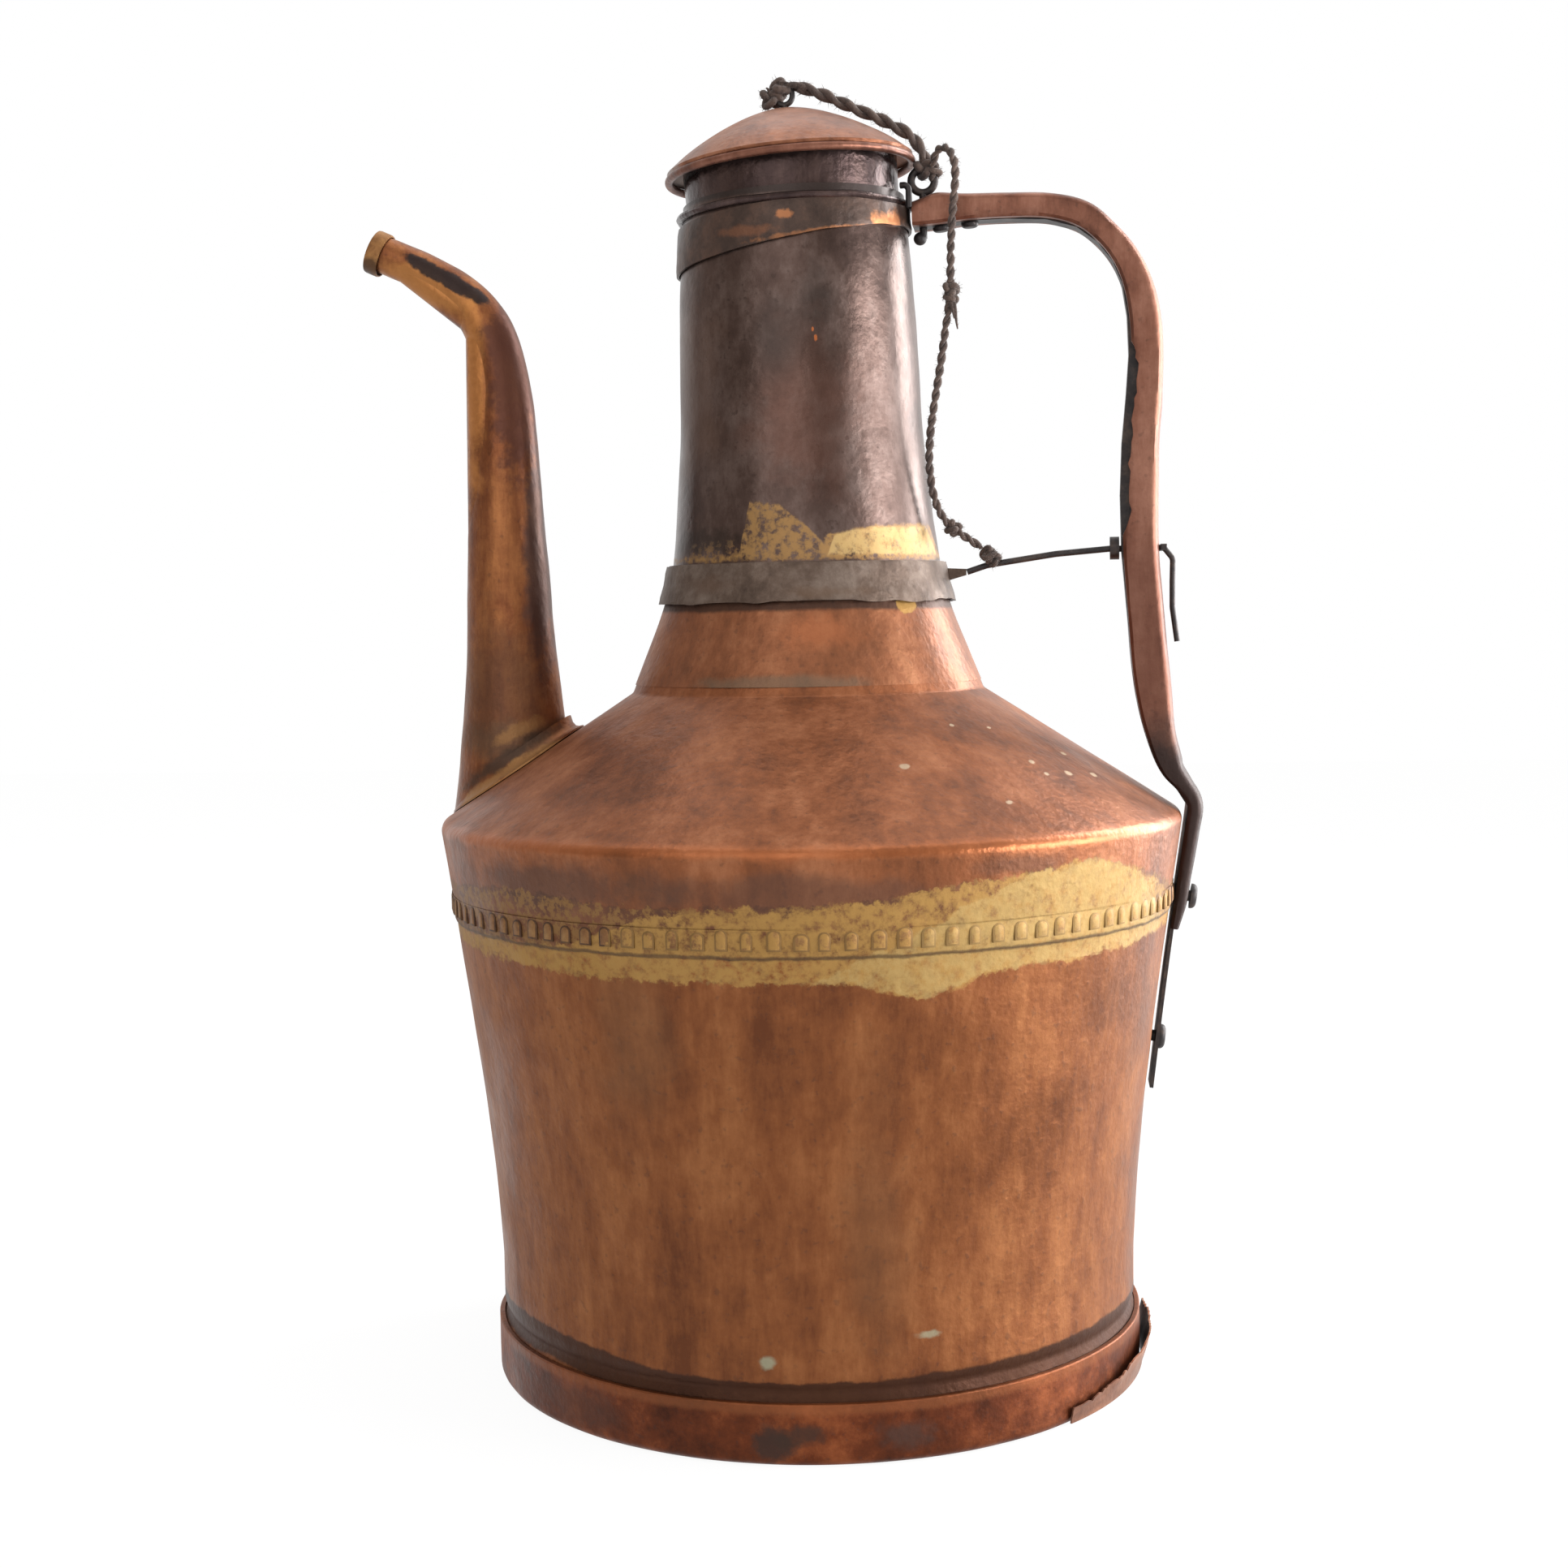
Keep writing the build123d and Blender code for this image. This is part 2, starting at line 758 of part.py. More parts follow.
# Wall rivets with their roves inside the vessel
rove_face = -wall - running_gap
rivet_tail = rove_face - rove_wall - clench_rise
wall_rivets = []
roves = []
for plane, seat in zip(rivet_planes, (upper_seat, lower_seat)):
    with BuildPart() as wall_rivet:
        add(rivet(plane, seat, wall_rivet_head, wall_rivet_dome, wall_rivet_radius, rivet_tail))
        with BuildSketch(plane.offset(rivet_tail)):
            Circle(wall_rivet_radius * clench_spread)
        extrude(amount=clench_rise - hole_play)
    with BuildPart() as rove:
        with BuildSketch(plane.offset(rove_face)):
            Circle(rove_radius)
            Circle(wall_rivet_radius + hole_play, mode=Mode.SUBTRACT)
        extrude(amount=-rove_wall)
    wall_rivets.append(wall_rivet.part)
    roves.append(rove.part)

# Rivets that hold the sheath to the core, their heads under the top of the handle
core_rivets = []
for index, plane in zip(sheath_rivets, sheath_rivet_planes):
    _, _, depth, proud, _, _ = sheath_run[index]
    seat = proud + running_gap
    tail = sheath_rivet_short - depth
    core_rivets.append(
        rivet(plane, seat, sheath_rivet_head, sheath_rivet_dome, sheath_rivet_radius, tail)
    )


def ring(centre, radius, rod):
    """Round-wire ring that stands in the plane of the handle and the spout."""
    with BuildPart() as loop:
        with BuildSketch(Plane(origin=centre, x_dir=(1, 0, 0), z_dir=(0, 0, 1))):
            with Locations((radius, 0)):
                Circle(rod)
        revolve(axis=Axis(centre, (0, -1, 0)))
    return loop.part


# Forged eye through the handle's end, clenched below
eye_top_seat = eye_seat + sheath_run[1][2]
eye_centre = (eye_x, 0, eye_top_seat + 3 * running_gap + eye_radius + eye_rod)
clench_x = neck_side + eye_clench_radius + running_gap
clench_height = eye_seat - eye_clench_drop
with BuildPart() as handle_eye:
    add(ring(eye_centre, eye_radius, eye_rod))
    with BuildSketch(Plane(origin=(eye_x, 0, clench_height))):
        Circle(eye_rod)
    extrude(amount=eye_centre[2] - eye_radius - clench_height)
    with Locations((clench_x, 0, clench_height)):
        Sphere(eye_clench_radius)

# Iron strap with a lug for the tie
strap_side = neck_joint_radius + running_gap + strap_wall
lug_start = strap_side - strap_wall / 2
lug_end = strap_side + lug_length
lug_foot_height = neck_joint_height + lug_rise
tie_height = lug_foot_height + lug_lift
with BuildPart() as neck_strap:
    with BuildSketch(Plane.XZ):
        with BuildLine():
            Polyline(
                (body_radius(strap_foot) + running_gap, strap_foot),
                (neck_joint_radius + running_gap, neck_joint_height),
                (neck_radius(strap_rise / 2) + running_gap, neck_joint_height + strap_rise / 2),
                (neck_radius(strap_rise) + running_gap, neck_joint_height + strap_rise),
            )
            offset(amount=strap_wall, side=Side.RIGHT)
        make_face()
    revolve(axis=Axis.Z)
    with BuildSketch(Plane(origin=(lug_start, 0, lug_foot_height), x_dir=(0, 1, 0), z_dir=(1, 0, 0))):
        Rectangle(lug_wall, lug_height)
    with BuildSketch(Plane(origin=(lug_end, 0, tie_height), x_dir=(0, 1, 0), z_dir=(1, 0, 0))):
        Rectangle(lug_wall, tie_rod * 2)
    loft()


def grip_at(height):
    """Inner edge and outer face of the handle at a height of its grip."""
    for upper, lower in zip(sheath_run, sheath_run[1:]):
        if lower[1] <= height <= upper[1] and lower[0] > neck_side + 50:
            share = (upper[1] - height) / (upper[1] - lower[1])
            inner = upper[0] + share * (lower[0] - upper[0])
            depth = upper[2] + share * (lower[2] - upper[2])
            return inner, inner + depth
    return upper[0], upper[0] + upper[2]


def rod_run(points, radii, rod):
    """Round rod along straight runs joined by arcs in the plane of the handle."""
    places = [(across, 0, height) for across, height in points]
    with BuildPart() as run:
        with BuildLine() as path:
            FilletPolyline(*places, radius=radii)
        start = Vector(*places[1]) - Vector(*places[0])
        with BuildSketch(Plane(origin=places[0], z_dir=start.normalized())):
            Circle(rod)
        sweep(path=path.wires()[0])
    return run.part


# Tie rod out to a nut at the handle, a flat hook round the grip's far side and a hanging tail
wrap_height = neck_joint_height + wrap_rise
wrap_edges = [grip_at(wrap_height - tie_rod), grip_at(wrap_height), grip_at(wrap_height + tie_rod)]
wrap_inner = min(inner for inner, _ in wrap_edges)
wrap_outer = max(outer for _, outer in wrap_edges)
wrap_left = wrap_inner - wrap_play - core_proud
wrap_right = wrap_outer + wrap_play
wrap_middle = (wrap_left + wrap_right) / 2
wrap_half = sheath_width / 2 + wrap_play
_, tail_outer = grip_at(wrap_height - tail_rest)
tie_points = [
    (lug_end + running_gap, tie_height),
    (strap_side + 14.0, wrap_height - 5.0),
    (strap_side + 38.0, wrap_height - 1.6),
    (wrap_left - wrap_wall / 2, wrap_height),
]
tail_points = [
    (wrap_right + wrap_wall / 2, wrap_height),
    (wrap_right + 4.2, wrap_height - 4.0),
    (wrap_right + 4.0, wrap_height - 12.0),
    (tail_outer + 3.0, wrap_height - tail_rest),
    (tail_outer + 4.6, wrap_height - tail_drop),
]
tie_radii = [20.0, 30.0]
tail_radii = [3.0, 8.0, 12.0]


with BuildPart() as tie_wire:
    add(rod_run(tie_points, tie_radii, tie_rod))
    with BuildSketch(Plane.XY.offset(wrap_height - tie_rod)):
        with Locations((wrap_middle, 0)):
            RectangleRounded(
                wrap_right - wrap_left + 2 * wrap_wall, 2 * wrap_half + 2 * wrap_wall, wrap_corner
            )
            RectangleRounded(
                wrap_right - wrap_left, 2 * wrap_half, wrap_corner - wrap_wall, mode=Mode.SUBTRACT
            )
        with Locations((wrap_middle, -(hook_front + wrap_half + wrap_wall) / 2)):
            Rectangle(
                wrap_right - wrap_left + 2 * wrap_wall,
                wrap_half + wrap_wall - hook_front,
                mode=Mode.SUBTRACT,
            )
    extrude(amount=2 * tie_rod)
    with BuildSketch(Plane(origin=(wrap_left - nut_length, 0, wrap_height), z_dir=(1, 0, 0))):
        Circle(nut_radius)
    extrude(amount=nut_length)
    add(rod_run(tail_points, tail_radii, tie_rod * tail_share))

# Lid, sitting askew in the mouth
lid_x = rim_x - lid_shift
lid_height = rim_height + lid_stand
lid_plane = tilted(lid_tilt, lid_x, lid_height)
lid_axis = upright_axis(lid_plane)
lid_up = lid_plane.y_dir
lid_apex = lid_plane.origin + lid_up * lid_rise
eye_plane = Plane(origin=lid_apex, x_dir=(0, 1, 0), z_dir=lid_up)
lid_hole = drill(eye_plane, -hole_reach, hole_reach, lid_eye_rod + hole_play)
inner_high = (lid_high_radius - lid_sheet * 0.35, lid_high_rise - lid_sheet)
inner_mid = (lid_mid_radius - lid_sheet * 0.55, lid_mid_rise - lid_sheet)
inner_edge = (lid_radius - lid_sheet * 0.65, lid_edge_rise - lid_sheet)
with BuildPart() as lid_dome:
    with BuildSketch(lid_plane):
        with BuildLine():
            Spline(
                (lid_radius, lid_edge_rise),
                (lid_mid_radius, lid_mid_rise),
                (lid_high_radius, lid_high_rise),
                (0, lid_rise),
                tangents=((-0.8, 0.6), (-1, 0)),
            )
            Line((0, lid_rise), (0, lid_rise - lid_sheet))
            Spline(
                (0, lid_rise - lid_sheet),
                inner_high,
                inner_mid,
                inner_edge,
                tangents=((1, 0), (0.8, -0.6)),
            )
            Line(inner_edge, (lid_radius, lid_edge_rise))
        make_face()
    revolve(axis=lid_axis)
    add(lid_hole, mode=Mode.SUBTRACT)

lid_wire_height = lid_edge_rise - lid_sheet - lid_wire - solder_gap
with BuildPart() as lid_wire_ring:
    with BuildSketch(lid_plane):
        with Locations((inner_edge[0], lid_wire_height)):
            Circle(lid_wire)
    revolve(axis=lid_axis)

mouth_bore = neck_radius(neck_length) - wall
skirt_at_rim = mouth_bore - skirt_play
skirt_top = lid_edge_rise + skirt_above_edge
with BuildPart() as lid_skirt:
    with BuildSketch(lid_plane):
        with BuildLine():
            Polyline(
                (skirt_at_rim + skirt_flare, skirt_top),
                (skirt_at_rim, -lid_stand),
                (skirt_at_rim - skirt_flare, -skirt_depth),
                (skirt_at_rim - skirt_flare - skirt_wall, -skirt_depth),
                (skirt_at_rim - skirt_wall, -lid_stand),
                (skirt_at_rim + skirt_flare - skirt_wall, skirt_top),
                close=True,
            )
        make_face()
    revolve(axis=lid_axis)

# Eye clenched through the lid's top
lid_eye_centre = lid_apex + lid_up * (2 * running_gap + lid_eye_radius + lid_eye_rod)
lid_rove_face = -lid_sheet - running_gap
lid_eye_tail = lid_rove_face - rove_wall - clench_rise
with BuildPart() as lid_eye:
    add(ring(lid_eye_centre, lid_eye_radius, lid_eye_rod))
    add(drill(eye_plane, lid_eye_tail, 2 * running_gap + lid_eye_rod, lid_eye_rod))
    add(drill(eye_plane, lid_eye_tail, lid_eye_tail + clench_rise - hole_play, lid_eye_rod * clench_spread))
with BuildPart() as lid_eye_rove:
    add(drill(eye_plane, lid_rove_face - rove_wall, lid_rove_face, rove_radius))
    add(lid_hole, mode=Mode.SUBTRACT)


def knot(places, wires=()):
    """Knot of rounded lumps, clear of the wires it is tied round."""
    with BuildPart() as lump:
        for x, y, z, radius in places:
            with Locations((x, y, z)):
                Sphere(radius)
        for wire in wires:
            add(wire, mode=Mode.SUBTRACT)
    return lump.part


lid_clear = drill(eye_plane, -lid_rise, running_gap / 2, lid_radius)
apex_x = lid_apex.X
apex_z = lid_apex.Z
lid_knot = knot(
    [(apex_x - 4.6, 0, apex_z + 3.4, 3.0), (apex_x - 2.0, 0, apex_z + 6.8, 3.0)],
    [ring(lid_eye_centre, lid_eye_radius, lid_eye_rod + hole_play), lid_clear],
)
eye_knot = knot(
    [(eye_x + 0.9, 0, eye_centre[2] + 4.0, 3.0), (eye_x + 2.8, 0, eye_centre[2] + 2.6, 2.4)],
    [ring(eye_centre, eye_radius, eye_rod + hole_play)],
)


def cord_tube(name, points, diameter):
    """Cord of straight runs and tangent arcs through points chosen by hand."""
    radii = []
    for index in range(1, len(points) - 1):
        before = Vector(*points[index]) - Vector(*points[index - 1])
        after = Vector(*points[index + 1]) - Vector(*points[index])
        turn_angle = math.radians(before.get_angle(after))
        radii.append(0.45 * min(before.length, after.length) / math.tan(turn_angle / 2))
    with BuildPart() as tube:
        with BuildLine() as path:
            FilletPolyline(*points, radius=radii)
        start = Vector(*points[1]) - Vector(*points[0])
        with BuildSketch(Plane(origin=points[0], z_dir=start.normalized())):
            Circle(diameter / 2)
        sweep(path=path.wires()[0])
    length = path.wires()[0].length
    filled = length * math.pi * diameter ** 2 / 4
    print(name, "radii", [round(radius, 1) for radius in radii])
    print(name, "length", round(length, 1))
    print(name, "volume", round(tube.part.volume, 1), "section by length", round(filled, 1))
    return tube.part


tether_points = [
    (0.4, 0.0, 453.2),
    (6.2, -0.6, 451.2),
    (13.2, -1.0, 448.0),
    (20.4, -0.8, 444.4),
    (27.8, -0.4, 441.3),
    (35.2, 0.0, 437.6),
    (41.8, 0.2, 433.2),
    (44.6, 0.2, 425.6),
]
hanging_points = [
    (47.2, -2.7, 423.6),
    (47.8, -4.9, 427.2),
    (50.6, -8.0, 429.2),
    (54.0, -11.4, 426.8),
    (55.6, -13.8, 420.6),
    (55.0, -14.8, 411.8),
    (53.9, -14.8, 401.5),
    (53.4, -15.0, 389.5),
    (53.2, -15.0, 377.6),
    (51.4, -15.2, 365.5),
    (49.6, -15.6, 353.4),
    (47.4, -16.6, 341.0),
    (45.6, -17.4, 329.0),
    (45.2, -17.4, 317.5),
    (46.8, -15.6, 307.0),
    (50.0, -11.4, 299.8),
    (56.2, -8.0, 295.0),
    (62.4, -4.8, 290.8),
]
tether_cord = cord_tube("tether_cord", tether_points, tether_diameter)
hanging_cord = cord_tube("hanging_cord", hanging_points, hanging_diameter)
middle_knot = knot([(53.3, -15.0, 379.5, 2.6), (53.1, -15.0, 376.6, 2.2)])
lower_knot = knot([(52.9, -9.8, 297.5, 2.4)])
tie_knot = knot([(65.0, -2.6, 288.4, 2.7), (66.8, -2.6, 286.6, 2.3)])

pieces = {
    "base_pan": base_pan.part,
    "torn_foot_skin": torn_foot_skin.part,
    "drum_wall": drum_wall.part,
    "shoulder": shoulder.part,
    "neck_cone": neck_cone.part,
    "neck_tube": neck_tube.part,
    "neck_rim": neck_rim.part,
    "neck_band": neck_band.part,
    "rim_clip": rim_clip.part,
    "neck_strap": neck_strap.part,
    "tie_wire": tie_wire.part,
    "spout_tube": spout_tube.part,
    "spout_collar": spout_collar.part,
    "spout_tip_ring": spout_tip_ring.part,
    "handle_sheath": handle_sheath.part,
    "handle_core": handle_core.part,
    "upper_wall_rivet": wall_rivets[0],
    "lower_wall_rivet": wall_rivets[1],
    "upper_wall_rove": roves[0],
    "lower_wall_rove": roves[1],
    "sheath_rivet_near_neck": core_rivets[0],
    "sheath_rivet_far": core_rivets[1],
    "handle_eye": handle_eye.part,
    "eye_knot": eye_knot,
    "tether_cord": tether_cord,
    "hanging_cord": hanging_cord,
    "middle_knot": middle_knot,
    "lower_knot": lower_knot,
    "tie_knot": tie_knot,
    "lid_dome": lid_dome.part,
    "lid_wire": lid_wire_ring.part,
    "lid_skirt": lid_skirt.part,
    "lid_eye": lid_eye.part,
    "lid_eye_rove": lid_eye_rove.part,
    "lid_knot": lid_knot,
}
for name, solid in pieces.items():
    solid.label = name
    export_step(solid, f"parts/{name}.step")
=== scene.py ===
"""Looks of the antique copper pitcher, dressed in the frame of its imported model.

All sizes are metres. The origin is the centre of the base's underside, +Z points up,
the spout stands at -X and the handle at +X.
"""
import logging
import math
from dataclasses import dataclass, field
from enum import Enum
from typing import Callable, Sequence

import bmesh
import bpy
from mathutils import Matrix, Vector, noise


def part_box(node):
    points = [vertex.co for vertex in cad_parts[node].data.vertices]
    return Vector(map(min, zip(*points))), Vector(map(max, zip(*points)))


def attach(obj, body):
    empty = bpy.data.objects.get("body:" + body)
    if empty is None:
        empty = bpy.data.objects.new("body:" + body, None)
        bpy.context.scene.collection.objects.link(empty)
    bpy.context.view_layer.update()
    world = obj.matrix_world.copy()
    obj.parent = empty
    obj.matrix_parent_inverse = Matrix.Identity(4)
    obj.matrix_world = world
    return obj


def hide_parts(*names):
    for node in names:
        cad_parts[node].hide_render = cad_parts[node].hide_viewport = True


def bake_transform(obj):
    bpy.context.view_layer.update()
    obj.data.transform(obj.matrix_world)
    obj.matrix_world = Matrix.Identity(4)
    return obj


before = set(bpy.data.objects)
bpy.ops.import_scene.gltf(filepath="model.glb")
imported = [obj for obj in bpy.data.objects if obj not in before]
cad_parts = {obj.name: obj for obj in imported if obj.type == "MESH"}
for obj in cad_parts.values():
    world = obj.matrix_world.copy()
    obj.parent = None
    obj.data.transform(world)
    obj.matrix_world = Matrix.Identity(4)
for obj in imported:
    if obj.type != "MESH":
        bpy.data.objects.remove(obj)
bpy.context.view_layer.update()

log = logging.getLogger("pitcher")

Colour = tuple[float, float, float]
Place = tuple[float, float, float]
Span = tuple[float, float]
Outline = Sequence[tuple[float, float]]
Socket = bpy.types.NodeSocket
MM = 0.001
SHEET_SHARP = 38.0
PLATE_SHARP = 50.0
CORD_SHARP = 80.0


# Lines and meshes


def smooth_line(points: Sequence[Sequence[float]], steps: int) -> list[tuple[float, ...]]:
    """Runs a smooth open curve through points of any dimension.

    Args:
        points: The points that the curve passes, in order.
        steps: How many pieces each stretch between two points is cut into.

    Returns:
        The points along the curve, both ends included.
    """
    rows: list[tuple[float, ...]] = []
    last = len(points) - 1
    for index in range(last):
        here, ahead = points[index], points[index + 1]
        before = points[index - 1] if index else [2 * a - b for a, b in zip(here, ahead)]
        after = points[index + 2] if index + 1 < last else [2 * b - a for a, b in zip(here, ahead)]
        for step in range(steps):
            t = step / steps
            rows.append(tuple(
                0.5 * (
                    2 * b + (c - a) * t + (2 * a - 5 * b + 4 * c - d) * t ** 2
                    + (3 * b - a - 3 * c + d) * t ** 3
                )
                for a, b, c, d in zip(before, here, ahead, after)
            ))
    rows.append(tuple(points[-1]))
    return rows


def rounded_line(corners: Sequence[tuple[float, float, float]], steps: int = 6) -> list[tuple[float, float]]:
    """Joins corners by straight runs and rounds them.

    Args:
        corners: Each corner's two coordinates and its radius, 0 for a sharp one.
        steps: How many pieces each rounding is cut into.

    Returns:
        The points along the line.
    """
    line: list[tuple[float, float]] = []
    for index, (across, up, radius) in enumerate(corners):
        here = Vector((across, up))
        if radius <= 0 or index in (0, len(corners) - 1):
            line.append((across, up))
            continue
        back = (Vector(corners[index - 1][:2]) - here).normalized()
        ahead = (Vector(corners[index + 1][:2]) - here).normalized()
        half = back.angle(ahead) / 2
        centre = here + (back + ahead).normalized() * (radius / math.sin(half))
        start = here + back * (radius / math.tan(half)) - centre
        end = here + ahead * (radius / math.tan(half)) - centre
        for step in range(steps + 1):
            spot = centre + start.lerp(end, step / steps).normalized() * radius
            line.append((spot.x, spot.y))
    return line


def finer(line: Sequence[tuple[float, float]], longest: float) -> list[tuple[float, float]]:
    """Cuts a line's runs so that none is longer than the given length.

    Args:
        line: The points of the line.
        longest: The longest run that stays whole.

    Returns:
        The line with more points.
    """
    result = [tuple(line[0])]
    for start, end in zip(line, line[1:]):
        count = max(1, math.ceil(math.dist(start, end) / longest))
        for step in range(1, count + 1):
            result.append(tuple(a + (b - a) * step / count for a, b in zip(start, end)))
    return result


def make_piece(
    name: str,
    vertices: Sequence[Sequence[float]],
    faces: Sequence[Sequence[int]],
    sharp: float = SHEET_SHARP,
) -> bpy.types.Object:
    """Makes a mesh object with its faces outward and its sharp edges marked.

    Args:
        name: The piece's name.
        vertices: Its points.
        faces: Its faces, as lists of point numbers.
        sharp: The angle in degrees above which an edge stays sharp.

    Returns:
        The object, linked to the scene.
    """
    mesh = bpy.data.meshes.new(name)
    mesh.from_pydata([tuple(v) for v in vertices], [], [tuple(f) for f in faces])
    shell = bmesh.new()
    shell.from_mesh(mesh)
    bmesh.ops.remove_doubles(shell, verts=shell.verts, dist=1e-6)
    bmesh.ops.recalc_face_normals(shell, faces=shell.faces)
    shell.to_mesh(mesh)
    shell.free()
    mesh.shade_smooth()
    mesh.set_sharp_from_angle(angle=math.radians(sharp))
    piece = bpy.data.objects.new(name, mesh)
    bpy.context.scene.collection.objects.link(piece)
    return piece


def loft(
    name: str,
    rings: Sequence[Sequence[Sequence[float]]],
    closed: bool = False,
    sharp: float = SHEET_SHARP,
) -> bpy.types.Object:
    """Skins a row of rings that all have the same number of points.

    Args:
        name: The piece's name.
        rings: The rings, each one closed.
        closed: Whether the last ring meets the first, without end caps.
        sharp: The angle in degrees above which an edge stays sharp.

    Returns:
        The object.
    """
    count = len(rings[0])
    vertices = [place for ring in rings for place in ring]
    faces: list[tuple[int, ...]] = []
    spans = len(rings) if closed else len(rings) - 1
    for row in range(spans):
        low = row * count
        high = (row + 1) % len(rings) * count
        for column in range(count):
            beside = (column + 1) % count
            faces.append((low + column, low + beside, high + beside, high + column))
    if not closed:
        for row in (0, len(rings) - 1):
            middle = sum((Vector(place) for place in rings[row]), Vector()) / count
            vertices.append(middle)
            hub = len(vertices) - 1
            for column in range(count):
                faces.append((row * count + column, row * count + (column + 1) % count, hub))
    return make_piece(name, vertices, faces, sharp)


@dataclass(frozen=True)
class Seat:
    """An upright axis through a point, leaning so that its handle side is raised."""

    x: float = 0.0
    z: float = 0.0
    tilt: float = 0.0

    def place(self, radius: float, rise: float, angle: float) -> Vector:
        """Gives the point at a radius, a rise and an angle from the handle side.

        Args:
            radius: Distance from the axis.
            rise: Height along the axis above the seat's point.
            angle: Angle round the axis, from +X toward +Y.

        Returns:
            The point in the pitcher's frame.
        """
        turn = math.radians(self.tilt)
        across, aside = radius * math.cos(angle), radius * math.sin(angle)
        return Vector((
            self.x + across * math.cos(turn) - rise * math.sin(turn),
            aside,
            self.z + across * math.sin(turn) + rise * math.cos(turn),
        ))


UPRIGHT = Seat()


@dataclass(frozen=True)
class Dents:
    """Shallow unevenness of hand-worked sheet, always inward."""

    depth: float
    size: float
    seed: float = 0.0

    def at(self, place: Vector) -> float:
        """Gives how far in the sheet lies at a point.

        Args:
            place: The point.

        Returns:
            The depth in metres, from 0 to the deepest dent.
        """
        shift = Vector((self.seed, self.seed * 0.7, -self.seed))
        broad = noise.noise(place / self.size + shift)
        small = noise.noise(place * 2.7 / self.size - shift)
        return self.depth * min(1.0, max(0.0, 0.5 + 0.55 * broad + 0.25 * small))


def lathe(
    name: str,
    outer: Sequence[tuple[float, float]],
    inner: Sequence[tuple[float, float]] = (),
    seat: Seat = UPRIGHT,
    segments: int = 224,
    dents: Dents | None = None,
) -> bpy.types.Object:
    """Turns a closed outline round an axis.

    Args:
        name: The piece's name.
        outer: The outer face as radius and rise, from one end to the other.
        inner: The inner face, from the outer face's far end back to its start.
        seat: The axis.
        segments: How many steps go round.
        dents: The unevenness of the outer face, if any.

    Returns:
        The object.
    """
    outline = [(radius, rise, True) for radius, rise in outer]
    outline += [(radius, rise, False) for radius, rise in inner]
    rings: list[list[Vector]] = []
    for radius, rise, faced in outline:
        ring = []
        for step in range(segments):
            angle = math.tau * step / segments
            place = seat.place(radius, rise, angle)
            if faced and dents is not None and radius > 1e-4:
                place = seat.place(radius - dents.at(place), rise, angle)
            ring.append(place)
        rings.append(ring)
    return loft(name, rings, closed=True)


@dataclass
class Track:
    """A path with the distance along it and a frame that doesn't spin."""

    points: list[Vector]
    lengths: list[float] = field(default_factory=list)
    forward: list[Vector] = field(default_factory=list)
    side: list[Vector] = field(default_factory=list)

    def __post_init__(self) -> None:
        """Works out lengths, directions and sideways directions."""
        self.lengths = [0.0]
        for start, end in zip(self.points, self.points[1:]):
            self.lengths.append(self.lengths[-1] + (end - start).length)
        count = len(self.points)
        for index in range(count):
            ahead = self.points[min(index + 1, count - 1)]
            self.forward.append((ahead - self.points[max(index - 1, 0)]).normalized())
        side = self.forward[0].orthogonal().normalized()
        for forward in self.forward:
            side = (side - forward * side.dot(forward)).normalized()
            self.side.append(side.copy())

    def at(self, distance: float) -> tuple[Vector, Vector, Vector]:
        """Gives the point, direction and sideways direction at a distance along the path.

        Args:
            distance: How far along, in metres.

        Returns:
            The point, the direction of travel and one sideways direction.
        """
        distance = min(max(distance, 0.0), self.lengths[-1])
        index = 0
        while index < len(self.lengths) - 2 and self.lengths[index + 1] < distance:
            index += 1
        span = self.lengths[index + 1] - self.lengths[index] or 1.0
        t = (distance - self.lengths[index]) / span
        point = self.points[index].lerp(self.points[index + 1], t)
        forward = self.forward[index].lerp(self.forward[index + 1], t).normalized()
        side = self.side[index].lerp(self.side[index + 1], t)
        return point, forward, (side - forward * side.dot(forward)).normalized()


def tube_rings(track: Track, radius: Callable[[float], float], step: float, sides: int) -> list[list[Vector]]:
    """Cuts round sections along a path.

    Args:
        track: The path.
        radius: Gives the tube's radius at a share of the way from 0 to 1.
        step: The distance between sections.
        sides: How many points each section has.

    Returns:
        The sections.
    """
    total = track.lengths[-1]
    count = max(2, round(total / step))
    rings = []
    for index in range(count + 1):
        share = index / count
        point, forward, side = track.at(total * share)
        other = forward.cross(side)
        size = radius(share)
        rings.append([
            point + (side * math.cos(a) + other * math.sin(a)) * size
            for a in (math.tau * corner / sides for corner in range(sides))
        ])
    return rings


def joined(name: str, pieces: Sequence[bpy.types.Object]) -> bpy.types.Object:
    """Joins mesh objects into one.

    Args:
        name: The name of the joined piece.
        pieces: The objects, which are used up.

    Returns:
        The joined object.
    """
    shell = bmesh.new()
    for piece in pieces:
        shell.from_mesh(piece.data)
    mesh = bpy.data.meshes.new(name)
    shell.to_mesh(mesh)
    shell.free()
    mesh.shade_smooth()
    for piece in pieces:
        old = piece.data
        bpy.data.objects.remove(piece)
        bpy.data.meshes.remove(old)
    whole = bpy.data.objects.new(name, mesh)
    bpy.context.scene.collection.objects.link(whole)
    return whole


# Nodes


def feed(tree: bpy.types.NodeTree, entry: Socket, value: object) -> None:
    """Links a socket to an entry, or sets the entry's own value.

    Args:
        tree: The node tree.
        entry: The input that is fed.
        value: A socket, or a plain value.
    """
    if isinstance(value, bpy.types.NodeSocket):
        tree.links.new(value, entry)
    elif entry.type == "RGBA" and len(value) == 3:
        entry.default_value = (*value, 1.0)
    else:
        entry.default_value = value


